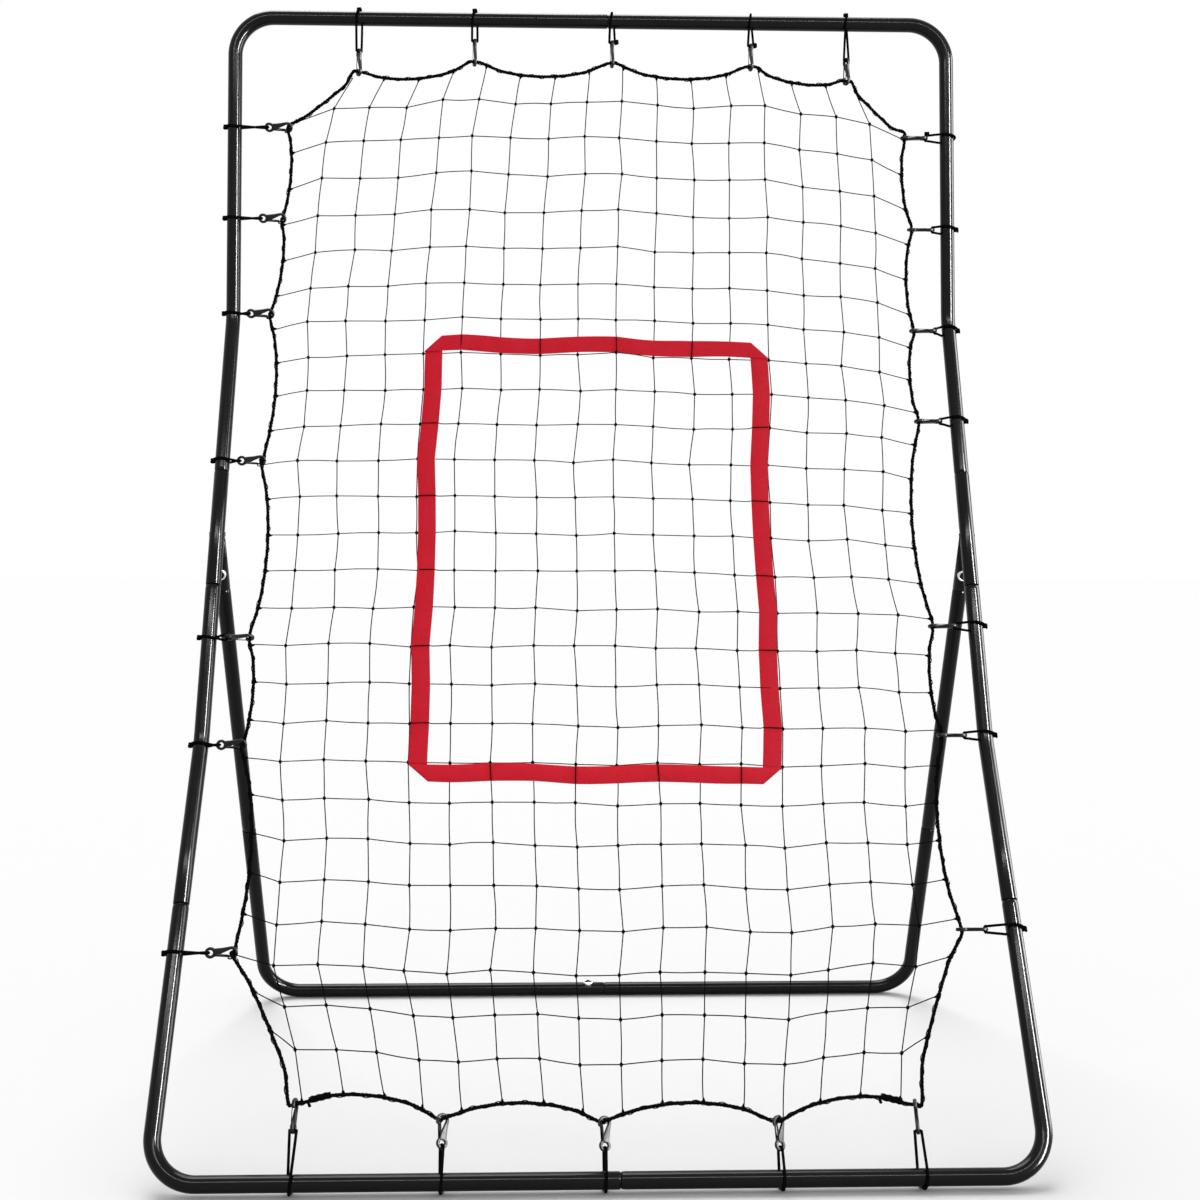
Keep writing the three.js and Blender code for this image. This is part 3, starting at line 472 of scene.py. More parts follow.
class Piece:
    """Gathers closed shells in millimetres and makes one object of them."""

    def __init__(self):
        self.points = []
        self.faces = []
        self.uvs = []

    def rings(self, rings, along, loop=False):
        """Joins equal rings of points, closed at both ends or into a loop; along gives each ring's
        distance in millimetres."""
        base = len(self.points)
        count = len(rings[0])
        for ring in rings:
            self.points.extend(ring)
        steps = len(rings) if loop else len(rings) - 1
        for i in range(steps):
            j = (i + 1) % len(rings)
            far = along[i + 1] if i + 1 < len(along) else along[i] + along[1] - along[0]
            for k in range(count):
                m = (k + 1) % count
                near, next_ring = base + i * count, base + j * count
                self.faces.append((near + k, near + m, next_ring + m, next_ring + k))
                u0, u1 = k / count, (k + 1) / count
                v0, v1 = along[i] * MM, far * MM
                self.uvs.append(((u0, v0), (u1, v0), (u1, v1), (u0, v1)))
        if not loop:
            for i, turn in ((0, -1), (len(rings) - 1, 1)):
                corners = [base + i * count + k for k in range(count)][::turn]
                self.faces.append(tuple(corners))
                self.uvs.append(tuple((k / count, along[i] * MM) for k in range(count)))

    def tube(self, path, radius, sides, loop=False, side=None):
        """Sweeps a round section; radius is one number or one per point."""
        path = np.asarray(path, float)
        radii = np.broadcast_to(radius, len(path))
        tangents = tangents_of(path, loop)
        normals = carried_normals(tangents, side)
        along = distances(path)
        angles = np.arange(sides) * 2 * math.pi / sides
        rings = []
        for point, tangent, normal, size in zip(path, tangents, normals, radii):
            other = np.cross(tangent, normal)
            section = np.outer(np.cos(angles), normal) + np.outer(np.sin(angles), other)
            rings.append(point + size * section)
        self.rings(rings, along, loop)

    def build(self, name, material, body="frame", stands_for=()):
        mesh = bpy.data.meshes.new(name)
        mesh.from_pydata((np.array(self.points) * MM).tolist(), [], self.faces)
        layer = mesh.uv_layers.new(name="UVMap")
        layer.data.foreach_set("uv", [c for face in self.uvs for corner in face for c in corner])
        shells = bmesh.new()
        shells.from_mesh(mesh)
        bmesh.ops.recalc_face_normals(shells, faces=shells.faces)
        shells.to_mesh(mesh)
        shells.free()
        mesh.polygons.foreach_set("use_smooth", [True] * len(mesh.polygons))
        return finished(bpy.data.objects.new(name, mesh), material, body, stands_for)


def finished(piece, material, body="frame", stands_for=()):
    if piece.name not in bpy.context.scene.collection.objects:
        show(piece)
    piece.data.materials.clear()
    piece.data.materials.append(material)
    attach(piece, body)
    if stands_for:
        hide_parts(*stands_for)
    return piece


def tangents_of(path, loop=False):
    if loop:
        ahead = np.roll(path, -1, axis=0)
        behind = np.roll(path, 1, axis=0)
    else:
        ahead = np.vstack([path[1:], path[-1:]])
        behind = np.vstack([path[:1], path[:-1]])
    steps = ahead - behind
    return steps / np.linalg.norm(steps, axis=1, keepdims=True)


def carried_normals(tangents, side=None):
    """Section directions that follow the path without twisting."""
    if side is None:
        side = X if abs(tangents[0][0]) < 0.8 else Y
    normals = []
    for tangent in tangents:
        side = unit(side - tangent * np.dot(side, tangent))
        normals.append(side)
    return normals


def smooth_path(points, per_span, loop=False):
    """Catmull-Rom curve through the points."""
    points = np.asarray(points, float)
    count = len(points)
    out = []
    spans = count if loop else count - 1
    for i in range(spans):
        if loop:
            a, b, c, d = (points[(i + k) % count] for k in (-1, 0, 1, 2))
        else:
            b, c = points[i], points[i + 1]
            a = points[i - 1] if i > 0 else 2 * b - c
            d = points[i + 2] if i + 2 < count else 2 * c - b
        for step in range(per_span):
            t = step / per_span
            bend = (2 * a - 5 * b + 4 * c - d) * t**2
            out.append(0.5 * (2 * b + (c - a) * t + bend + (3 * b - a - 3 * c + d) * t**3))
    if not loop:
        out.append(points[-1])
    return np.array(out)


# ---- Painted tubes --------------------------------------------------------------------------

TUBE_FACES = 36
BEND_STEP = 4
MOUTH_ROUND = 0.5
WELD_POINTS = 96
WELD_RIPPLES = 24
SHOULDER = 5


class Route:
    """A tube's centreline drawn as straight lengths and bends."""

    def __init__(self, start, way):
        self.points = [np.array(start, float)]
        self.way = unit(way)

    def straight(self, length):
        pieces = max(1, round(length / 60))
        for _ in range(pieces):
            self.points.append(self.points[-1] + self.way * length / pieces)
        return self

    def bend(self, radius, degrees, axis):
        centre = self.points[-1] + np.cross(axis, self.way) * radius
        arm = self.points[-1] - centre
        steps = math.ceil(degrees / BEND_STEP)
        for step in range(1, steps + 1):
            turn = np.array(Matrix.Rotation(math.radians(degrees * step / steps), 3, Vector(axis)))
            self.points.append(centre + turn @ arm)
        self.way = np.array(Matrix.Rotation(math.radians(degrees), 3, Vector(axis))) @ self.way
        return self


def tube_shell(piece, route, start, end):
    """Hollow tube along a route. Each end is a "mouth", cut square with its edge just rounded, or
    a "neck", reduced over a short shoulder so that it slides into the next tube."""
    path = route.points
    first, last = unit(path[1] - path[0]), unit(path[-1] - path[-2])

    def end_rings(kind):
        """(distance inwards from the end, radius), from the bore out to the full tube."""
        bore = TUBE_RADIUS - TUBE_WALL
        if kind == "mouth":
            return [(30, bore), (MOUTH_ROUND, bore), (0, bore + MOUTH_ROUND / 2),
                    (0, TUBE_RADIUS - MOUTH_ROUND), (0.15, TUBE_RADIUS - 0.15), (MOUTH_ROUND, TUBE_RADIUS)]
        tip = -SPIGOT_LENGTH
        return [(30, SPIGOT_RADIUS - TUBE_WALL), (tip, SPIGOT_RADIUS - TUBE_WALL),
                (tip, SPIGOT_RADIUS - 0.5), (tip + 1, SPIGOT_RADIUS), (-0.6, SPIGOT_RADIUS),
                (0, SPIGOT_RADIUS + 0.4), (0.5, TUBE_RADIUS - 0.75), (1.6, TUBE_RADIUS - 0.25),
                (SHOULDER, TUBE_RADIUS)]

    stations = [(path[0] + first * depth, radius) for depth, radius in end_rings(start)]
    stations += [(point, TUBE_RADIUS) for point in path[1:-1]]
    stations += [(path[-1] - last * depth, radius) for depth, radius in reversed(end_rings(end))]
    centres = np.array([place for place, _ in stations])
    # Directions come from the route itself, because end rings step back and forth
    middle = list(tangents_of(np.array(path))[1:-1])
    ways = [first] * len(end_rings(start)) + middle + [last] * len(end_rings(end))
    normals = carried_normals(ways)
    advances = np.abs(np.einsum("ij,ij->i", np.diff(centres, axis=0), ways[1:]))
    along = np.concatenate([[0], np.cumsum(advances)])
    angles = np.arange(TUBE_FACES) * 2 * math.pi / TUBE_FACES
    rings = [
        place + radius * (np.outer(np.cos(angles), normal) + np.outer(np.sin(angles), np.cross(way, normal)))
        for (place, radius), way, normal in zip(stations, ways, normals)
    ]
    piece.rings(rings, along)


def bar_start(side, seam):
    return seam + side * SEAM_GAP / 2


def bottom_corner(side):
    outward = X * side
    start = bar_start(side, FRONT_BAR_SEAM)
    way = uphill(RUNS[0][1])
    route = Route(FRONT_BAR + X * start, outward)
    route.straight(abs(side * HALF_WIDTH - start) - CORNER_RADIUS)
    route.bend(CORNER_RADIUS, 90, np.cross(outward, way))
    route.straight(LOWER_SEAM - SEAM_GAP / 2 - CORNER_RADIUS)
    piece = Piece()
    tube_shell(piece, route, "neck" if side > 0 else "mouth", "neck")
    return piece


def lower_side(side):
    at, before, after, reach = BENDS[0]
    route = Route(frame_point(side * HALF_WIDTH, LOWER_SEAM + SEAM_GAP / 2), uphill(before))
    route.straight(at - reach - LOWER_SEAM - SEAM_GAP / 2)
    route.bend(BEND_RADIUS, before - after, X)
    route.straight(CONNECTOR[0] - SEAM_GAP / 2 - at - reach)
    piece = Piece()
    tube_shell(piece, route, "mouth", "neck")
    return piece


def upper_corner(side):
    at, before, after, reach = BENDS[1]
    start = frame_point(side * HALF_WIDTH, CONNECTOR[1] + SEAM_GAP / 2)
    inward = -X * side
    route = Route(start, uphill(before))
    route.straight(at - reach - CONNECTOR[1] - SEAM_GAP / 2)
    route.bend(BEND_RADIUS, before - after, X)
    route.straight(RUNS[2][0] - reach - CORNER_RADIUS)
    route.bend(CORNER_RADIUS, 90, np.cross(uphill(after), inward))
    route.straight(abs(side * HALF_WIDTH - bar_start(side, FRONT_BAR_SEAM)) - CORNER_RADIUS)
    piece = Piece()
    tube_shell(piece, route, "neck", "neck" if side > 0 else "mouth")
    return piece


def weld_line(count):
    """Where the branch leaves the connector, from the crossing of their axes: directions round the
    branch and how far along the branch the main tube's surface is."""
    main = uphill(RUNS[1][1])
    square = LEG_WAY - main * np.dot(LEG_WAY, main)
    line = []
    for k in range(count):
        angle = 2 * math.pi * k / count
        arm = TUBE_RADIUS * spoke(angle, X, np.cross(LEG_WAY, X))
        offset = arm - main * np.dot(arm, main)
        # |offset + t * square| = TUBE_RADIUS, larger root
        a, b = np.dot(square, square), np.dot(offset, square)
        inside = max(0.0, b * b - a * (np.dot(offset, offset) - TUBE_RADIUS**2))
        line.append((arm, (-b + math.sqrt(inside)) / a))
    return line


def side_connector(side):
    piece = Piece()
    bottom = frame_point(side * HALF_WIDTH, CONNECTOR[0] + SEAM_GAP / 2)
    main = Route(bottom, uphill(RUNS[1][1])).straight(CONNECTOR[1] - CONNECTOR[0] - SEAM_GAP)
    tube_shell(piece, main, "mouth", "mouth")
    root = BRANCH_POINT + X * side * HALF_WIDTH
    line = weld_line(TUBE_FACES)
    bore = (TUBE_RADIUS - TUBE_WALL) / TUBE_RADIUS
    end = BRANCH_LENGTH - SEAM_GAP / 2
    rings = [
        [root + arm * bore + LEG_WAY * (t - 0.6) for arm, t in line],
        [root + arm + LEG_WAY * (t - 0.6) for arm, t in line],
        [root + arm + LEG_WAY * (t + (end - t) * 0.5) for arm, t in line],
    ]
    rings += [
        [root + arm * radius / TUBE_RADIUS + LEG_WAY * (end - depth) for arm, _ in line]
        for depth, radius in (
            (MOUTH_ROUND, TUBE_RADIUS), (0.15, TUBE_RADIUS - 0.15), (0, TUBE_RADIUS - MOUTH_ROUND),
            (0, TUBE_RADIUS - TUBE_WALL + MOUTH_ROUND / 2), (MOUTH_ROUND, TUBE_RADIUS - TUBE_WALL))
    ]
    piece.rings(rings, [0, 1, 30, 60, 60.4, 61, 62, 62.5], loop=True)
    bead = [root + arm + LEG_WAY * (t + 0.3) for arm, t in weld_line(WELD_POINTS)]
    ripple = 0.95 + 0.18 * np.sin(np.arange(WELD_POINTS) * 2 * math.pi * WELD_RIPPLES / WELD_POINTS)
    piece.tube(bead, ripple, sides=10, loop=True, side=X)
    return piece


def stand_leg(side):
    root = BRANCH_POINT + X * side * HALF_WIDTH
    route = Route(root + LEG_WAY * (BRANCH_LENGTH + SEAM_GAP / 2), LEG_WAY)
    route.straight(LEG_SEAM - BRANCH_LENGTH - SEAM_GAP)
    piece = Piece()
    tube_shell(piece, route, "neck", "neck")
    return piece


def stand_foot(side):
    outward = X * side
    start = bar_start(side, REAR_BAR_SEAM)
    route = Route(REAR_BAR + X * start, outward)
    route.straight(abs(side * HALF_WIDTH - start) - CORNER_RADIUS)
    route.bend(CORNER_RADIUS, 90, np.cross(outward, -LEG_WAY))
    route.straight(LEG_LENGTH - LEG_SEAM - SEAM_GAP / 2 - CORNER_RADIUS)
    piece = Piece()
    tube_shell(piece, route, "neck" if side > 0 else "mouth", "mouth")
    return piece


enamel = black_enamel()
TUBES = {
    "bottom_corner_tube": bottom_corner,
    "lower_side_tube": lower_side,
    "side_connector": side_connector,
    "upper_corner_tube": upper_corner,
    "stand_leg": stand_leg,
    "stand_foot_tube": stand_foot,
}
for node, maker in TUBES.items():
    for name, side in (("left", -1), ("right", 1)):
        maker(side).build(f"painted_{node}_{name}", enamel, stands_for=[f"{node}_{name}"])

# ---- Snap buttons and their washers ---------------------------------------------------------

zinc = zinc_plate()
nylon = moulded_nylon()


def lathe(piece, profile, origin, out, sides=28, saddle=None, ring_shaped=False):
    """Turns (radius, height) about an axis; a height of None follows the tube below by saddle."""
    across = unit(np.cross(out, X) if abs(out[0]) < 0.9 else Y)
    other = np.cross(out, across)
    rings = []
    for radius, height in profile:
        ring = []
        for k in range(sides):
            angle = 2 * math.pi * k / sides
            arm = radius * spoke(angle, across, other)
            level = saddle(arm) if height is None else height
            ring.append(origin + arm + out * level)
        rings.append(ring)
    piece.rings(rings, np.linspace(0, 10, len(rings)), loop=ring_shaped)


def ring_piece(centre, out, seat, top):
    """Ring whose underside follows the tube; top lists (radius, height) from its hole outwards."""
    piece = Piece()
    profile = [(top[0][0], None)] + top + [(top[-1][0], None)]
    lathe(piece, profile, centre, out, sides=40, saddle=seat, ring_shaped=True)
    return piece


def joint_place(name, side):
    if name == "rear_bar":
        return REAR_BAR + X * (REAR_BAR_SEAM - BUTTON_FROM_SEAM), Z, X
    root = BRANCH_POINT + X * side * HALF_WIDTH
    return root + LEG_WAY * (BRANCH_LENGTH - BUTTON_FROM_SEAM), LEG_FRONT, LEG_WAY


for name, side in (("left", -1), ("right", 1), ("rear_bar", 0)):
    centre, out, tube_way = joint_place(name, side)
    top = TUBE_RADIUS + BUTTON_PROUD
    dome = [
        (BUTTON_RADIUS * math.sin(a), top - BUTTON_RADIUS * 0.75 * (1 - math.cos(a)))
        for a in np.linspace(0.02, math.pi / 2, 9)
    ]
    button = Piece()
    lathe(button, dome + [(BUTTON_RADIUS, 3.2), (4.2, 3.0), (4.2, 2.1)], centre, out)
    button.build(f"domed_button_{name}", nylon, body=f"button_{name}", stands_for=[f"snap_button_{name}"])

    def seat(arm):
        sideways = np.dot(arm, np.cross(out, tube_way))
        return math.sqrt((TUBE_RADIUS + 0.1) ** 2 - sideways**2)

    crown = TUBE_RADIUS + WASHER_RISE
    rim = WASHER_RADIUS - WASHER_RIM
    # The washer is drawn as two rings: its rim in bright zinc, and its flat top inside the rim in black nylon
    # as painted shade, so that only the rim shows bright
    bright = [(rim, crown - 0.05), (rim + 0.3, crown + 0.15),
              (WASHER_RADIUS - 0.5, crown + 0.05), (WASHER_RADIUS, crown - 0.6)]
    shade_painted_top = [(BUTTON_HOLE, crown - 0.8), (BUTTON_HOLE + 0.3, crown - 0.5),
            (rim - 0.2, crown - 0.45), (rim - 0.06, crown - 0.6)]
    bright_rim = ring_piece(centre, out, seat, bright)
    bright_rim.build(f"bright_rim_{name}", zinc, stands_for=[f"saddle_washer_{name}"])
    ring_piece(centre, out, seat, shade_painted_top).build(f"shade_painted_seat_{name}", nylon)

spring = spring_strip()
for name in ("left", "right", "rear_bar"):
    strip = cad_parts[f"button_spring_{name}"]
    strip.data.materials.clear()
    strip.data.materials.append(spring)

# ---- Ties and the rope's route --------------------------------------------------------------


class Tie:
    """One hook tie, with its own axes: towards the rope, along the tube and across the net."""

    def __init__(self, edge, index, along, reach, twist):
        self.edge, self.reach, self.twist = edge, reach, twist
        self.name = f"tie_{edge}_{index}"
        if edge in ("top", "bottom"):
            lean = RUNS[2][1] if edge == "top" else RUNS[0][1]
            self.root = frame_point(along, SIDE_LENGTH if edge == "top" else 0)
            self.towards = uphill(lean) * (-1 if edge == "top" else 1)
            self.tube_way = X
        else:
            side = 1 if edge == "right" else -1
            self.root = frame_point(side * HALF_WIDTH, along)
            self.towards = -X * side
            self.tube_way = uphill(lean_at(along))
        self.across = np.cross(self.towards, self.tube_way)
        self.hold = self.root + self.towards * reach
        dive = math.radians(max(0, 90 - HOOK_SKEW - twist))
        heading = -1 if edge in ("top", "left") else 1
        self.kink = heading * ROPE_KINK * (math.cos(dive) * self.tube_way - math.sin(dive) * self.across)

    def place(self, point):
        return self.root + self.towards * point[0] + self.tube_way * point[1] + self.across * point[2]


ties = {
    edge: [Tie(edge, index + 1, *numbers) for index, numbers in enumerate(rows)]
    for edge, rows in TIES.items()
}
around = ties["bottom"] + ties["right"] + ties["top"][::-1] + ties["left"][::-1]
net_centre = frame_point(0, SIDE_LENGTH / 2)


class Span:
    """Rope between two ties."""

    def __init__(self, tie, following):
        self.tie, self.start, self.end = tie, tie.hold, following.hold
        corner = tie.edge != following.edge
        middle = (self.start + self.end) / 2
        self.inward = unit(net_centre - middle) if corner else tie.towards
        bow = CORNER_BOW if corner else BAR_BOW if tie.edge in ("top", "bottom") else SIDE_BOW
        self.sag = bow * np.linalg.norm(self.end - self.start)

    def at(self, share):
        return self.start + (self.end - self.start) * share + self.inward * 4 * self.sag * share * (1 - share)


spans = [Span(tie, around[(k + 1) % len(around)]) for k, tie in enumerate(around)]


def divided_line(line, parts):
    """A line's ends and the points that divide it into equal parts."""
    travelled = distances(line)
    wanted = np.linspace(0, travelled[-1], parts + 1)
    return np.stack([np.interp(wanted, travelled, line[:, axis]) for axis in range(3)], axis=1)


def rope_line():
    """Closed route of the border rope, in points about a millimetre and a half apart."""
    stops = []
    for span in spans:
        stops += [span.start - span.tie.kink, span.start, span.start + span.tie.kink]
        stops += [span.at(share) for share in (0.2, 0.4, 0.6, 0.8)]
    curve = smooth_path(stops, 24, loop=True)
    curve = np.vstack([curve, curve[:1]])
    return divided_line(curve, round(distances(curve)[-1] / ROPE_STEP))[:-1]


# ---- Net ------------------------------------------------------------------------------------


# Where the mesh's corners sit: share of the corner's rope from the tie that comes first
MESH_CORNERS = {"bottom": 0.13, "right": 0.42, "top": 0.48, "left": 0.81}
# 0 hangs the knots by an even division of the edges, 1 by the balance of their pulls
PULL_SHARE = 0.5


def edge_points(first, last, parts):
    """Points spaced along the rope from one corner of the mesh to the next."""
    line = []
    for index in range(first, last + 1):
        span = spans[index % len(spans)]
        corner = MESH_CORNERS[span.tie.edge]
        start, end = (corner if index == first else 0), (corner if index == last else 1)
        steps = [start + (end - start) * k / 12 for k in range(1 if line else 0, 13)]
        line += [span.at(share) for share in steps]
    return divided_line(np.array(line), parts)


def hung_knots():
    """Places of the mesh's knots, between an even division of the net and the balance of pulls."""
    ends = np.cumsum([len(ties[edge]) for edge in ("bottom", "right", "top", "left")])
    bottom = edge_points(-1, ends[0] - 1, NET_COLUMNS)
    right = edge_points(ends[0] - 1, ends[1] - 1, NET_ROWS)
    top = edge_points(ends[1] - 1, ends[2] - 1, NET_COLUMNS)[::-1]
    left = edge_points(ends[2] - 1, ends[3] - 1, NET_ROWS)[::-1]
    u = np.linspace(0, 1, NET_COLUMNS + 1)[:, None, None]
    v = np.linspace(0, 1, NET_ROWS + 1)[None, :, None]
    low, high = bottom[0] * (1 - u) + bottom[-1] * u, top[0] * (1 - u) + top[-1] * u
    divided = left[None] * (1 - u) + right[None] * u + bottom[:, None] * (1 - v) + top[:, None] * v
    divided = divided - (low * (1 - v) + high * v)
    balanced = divided.copy()
    for _ in range(1500):
        inner = balanced[:-2, 1:-1] + balanced[2:, 1:-1] + balanced[1:-1, :-2] + balanced[1:-1, 2:]
        balanced[1:-1, 1:-1] = inner / 4
    return divided * (1 - PULL_SHARE) + balanced * PULL_SHARE


knots = hung_knots()


def net_point(column, row):
    i = min(max(int(column), 0), NET_COLUMNS - 1)
    j = min(max(int(row), 0), NET_ROWS - 1)
    a, b = column - i, row - j
    below = knots[i, j] * (1 - a) + knots[i + 1, j] * a
    above = knots[i, j + 1] * (1 - a) + knots[i + 1, j + 1] * a
    return below * (1 - b) + above * b


def net_front(column, row):
    across = net_point(min(column + 0.5, NET_COLUMNS), row) - net_point(max(column - 0.5, 0), row)
    upwards = net_point(column, min(row + 0.5, NET_ROWS)) - net_point(column, max(row - 0.5, 0))
    return unit(np.cross(across, upwards))


PITCH = np.linalg.norm(net_point(9, 13) - net_point(8, 13))
BAND = WEBBING_WIDTH / PITCH
zone_left, zone_right = ZONE_COLUMNS
zone_low, zone_high = ZONE_ROWS
OVER_WEBBING = WEBBING_LIFT + WEBBING_THICKNESS + TWINE_RADIUS + 0.2

# Hand-tied mesh is never quite even
wander = random.normal(0, 0.95, knots.shape)
wander[[0, -1]] = 0
wander[:, [0, -1]] = 0
shown_knots = knots + wander


def lift_over(i, j, vertical):
    """(start, end) share of a twine that runs over the front of the webbing, or None."""
    reach = BAND + 0.04
    if vertical and j == zone_high and i in FRONT_OF_TOP:
        return 0.0, reach
    if vertical and j == zone_low - 1 and i in FRONT_OF_BOTTOM:
        return 1 - reach, 1.0
    if not vertical and j in FRONT_OF_SIDES:
        if i == zone_left:
            return 0.0, reach
        if i == zone_right - 1:
            return 1 - reach, 1.0
    return None


def twine(piece, i, j, vertical):
    start = shown_knots[i, j]
    end = shown_knots[i, j + 1] if vertical else shown_knots[i + 1, j]
    over = lift_over(i, j, vertical)
    if over is None:
        sway = random.normal(0, 0.35, 3)
        path = [start, (start + end) / 2 + sway, end]
        piece.tube(smooth_path(path, 2), TWINE_RADIUS, sides=6)
        return
    front = net_front(i + (0 if vertical else 0.5), j + (0.5 if vertical else 0))
    shares = [0, 0.04, over[0] + 0.1, over[1] - 0.06, over[1] + 0.05, 1]
    if over[0] > 0:
        shares = [0, over[0] - 0.05, over[0] + 0.06, 0.9, 0.96, 1]
    lifts = [0.0, OVER_WEBBING * 0.8, OVER_WEBBING, OVER_WEBBING, 0.0, 0.0]
    if over[0] > 0:
        lifts = lifts[::-1]
    path = [start + (end - start) * share + front * lift for share, lift in zip(shares, lifts)]
    piece.tube(smooth_path(path, 3), TWINE_RADIUS, sides=6)


def knot(piece, i, j):
    """Mesh knot: a bight of one twine and a turn of the other drawn tight round it."""
    place = shown_knots[i, j]
    front = net_front(i, j)
    up = unit(net_point(i, min(j + 0.5, NET_ROWS)) - net_point(i, max(j - 0.5, 0)))
    right = np.cross(up, front)
    tilt = random.uniform(-0.4, 0.4)
    bight = (unit(up + right * (0.5 + tilt)), 1.25, 1.5)
    turn = (unit(right - up * (0.6 - tilt)), 1.35, 1.1)
    for way, size, stretch in (bight, turn):
        other = unit(np.cross(front, way))
        ring = []
        for k in range(8):
            angle = 2 * math.pi * k / 8
            rise = math.sin(angle) * (front * 0.75 + way * 0.5) * stretch
            ring.append(place + size * (math.cos(angle) * other * 0.9 + rise))
        piece.tube(ring, 0.95, sides=5, loop=True, side=way)
    lump = [place - up * 2.8, place - up * 1.0, place + up * 1.1, place + up * 2.9]
    piece.tube(lump, [0.4, 1.7, 1.6, 0.35], sides=6)


def edge_lashing(piece, i, j, inner):
    """Turns that tie an edge mesh to the border rope, gathered to the twine."""
    place = shown_knots[i, j]
    to_twine = unit(shown_knots[inner] - place)
    k = np.argmin(np.linalg.norm(rope - place, axis=1))
    way = unit(rope[(k + 2) % len(rope)] - rope[k - 2])
    inward = unit(to_twine - way * np.dot(to_twine, way))
    across = np.cross(way, inward)
    middle = rope[k]
    radius = ROPE_RADIUS + TWINE_RADIUS * 0.7
    turns = []
    for step in range(23):
        angle = 2 * math.pi * step / 9
        arm = spoke(angle, inward, across)
        turns.append(middle + way * (step - 11) * 0.17 + radius * arm)
    piece.tube(turns, TWINE_RADIUS * 0.9, sides=5)
    neck = middle + to_twine * (ROPE_RADIUS + 0.6)
    piece.tube([neck - to_twine * 0.8, neck + to_twine * 0.4, neck + to_twine * 1.8, neck + to_twine * 3.2],
               [1.4, 1.6, 1.1, 0.4], sides=7)


rope = rope_line()
net = Piece()
for i in range(NET_COLUMNS + 1):
    for j in range(NET_ROWS + 1):
        if j < NET_ROWS and 0 < i < NET_COLUMNS:
            twine(net, i, j, vertical=True)
        if i < NET_COLUMNS and 0 < j < NET_ROWS:
            twine(net, i, j, vertical=False)
        if 0 < i < NET_COLUMNS and 0 < j < NET_ROWS:
            knot(net, i, j)
        elif 0 < i < NET_COLUMNS:
            edge_lashing(net, i, j, (i, 1 if j == 0 else NET_ROWS - 1))
        elif 0 < j < NET_ROWS:
            edge_lashing(net, i, j, (1 if i == 0 else NET_COLUMNS - 1, j))

# The mesh's own edge twine winds loosely along the rope, once in LOOSE_TURN millimetres
LOOSE_TURN = 27
loose = []
for k, point in enumerate(rope):
    way = unit(rope[(k + 1) % len(rope)] - rope[k - 1])
    side = unit(np.cross(way, net_front(8, 13)))
    angle = 2 * math.pi * k * ROPE_STEP / LOOSE_TURN
    radius = ROPE_RADIUS + 0.6 + 0.35 * math.sin(k * 0.37)
    loose.append(point + radius * spoke(angle, side, np.cross(way, side)))
net.tube(np.array(loose)[::2], TWINE_RADIUS * 0.85, sides=5, loop=True)
twine_black = twisted_twine()
net.build("knotted_mesh", twine_black, stands_for=["net_panel"])

# ---- Border rope ----------------------------------------------------------------------------

ROPE_LAY = 11.5
STRAND_RADIUS = 1.06
STRAND_OFFSET = 1.05


def border_rope():
    piece = Piece()
    ways = tangents_of(rope, loop=True)
    normals = carried_normals(ways)
    # Close the frame's slow turn over the whole loop
    closing = math.atan2(np.dot(np.cross(normals[-1], normals[0]), ways[0]), np.dot(normals[-1], normals[0]))
    turns = round(len(rope) * ROPE_STEP / ROPE_LAY)
    for strand in range(3):
        line = []
        for k, (point, way, normal) in enumerate(zip(rope, ways, normals)):
            share = k / len(rope)
            angle = 2 * math.pi * (strand / 3 + turns * share) + closing * share
            arm = spoke(angle, normal, np.cross(way, normal))
            line.append(point + STRAND_OFFSET * arm)
        slack = 1 + 0.1 * np.sin(np.arange(len(line)) * 0.9 + strand) * random.uniform(0.3, 1.0, len(line))
        piece.tube(line, STRAND_RADIUS * slack, sides=7, loop=True)
    return piece


border_rope().build("laid_border_rope", rope_strand(), stands_for=["border_rope"])


def whipping(low, high):
    """Close turns of twine round the rope between two corners of the CAD sleeve."""
    middle = (np.array(low) + np.array(high)) / 2 / MM
    k = np.argmin(np.linalg.norm(rope - middle, axis=1))
    way = unit(rope[(k + 4) % len(rope)] - rope[k - 4])
    side = unit(np.cross(way, Y))
    piece = Piece()
    pitch, radius = 1.25, ROPE_RADIUS + 0.75
    total = WHIPPING_LENGTH / pitch
    line = []
    for step in range(int(total * 14) + 1):
        angle = 2 * math.pi * step / 14
        along = -WHIPPING_LENGTH / 2 + pitch * step / 14
        centre = rope[k] + way * along
        line.append(centre + radius * spoke(angle, side, np.cross(way, side)))
    piece.tube(line, 0.7, sides=6)
    # A second, uneven layer and the rope's cut end
    over = []
    for step in range(int(total * 8)):
        angle = 2 * math.pi * step / 10
        along = WHIPPING_LENGTH * (0.5 - step / (total * 8)) * 0.9
        swell = radius + 0.6 + 0.35 * math.sin(step * 0.5)
        arm = spoke(angle, side, np.cross(way, side))
        over.append(rope[k] + way * along + swell * arm)
    piece.tube(over, 0.62, sides=6)
    end = rope[k] - way * WHIPPING_LENGTH * 0.55
    cut_end = smooth_path([end + way * 4, end - Z * 2.4, end - Z * 7 + way * 1.5], 4)
    piece.tube(cut_end, [1.5] * 7 + [1.7, 1.5], sides=8)
    return piece


for name in ("rope_join_whipping", "rope_mend_whipping"):
    whipping(*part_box(name)).build(f"wound_{name}", twine_black, stands_for=[name])

# ---- Strike-zone webbing --------------------------------------------------------------------

webbing = red_webbing()


# Section of the webbing: share of its width, share of its thickness
WEBBING_SECTION = [
    (0, 0), (0, 0.35), (0.012, 0.75), (0.04, 1), (0.5, 1.04),
    (0.96, 1), (0.988, 0.75), (1, 0.35), (1, 0), (0.5, 0.03),
]


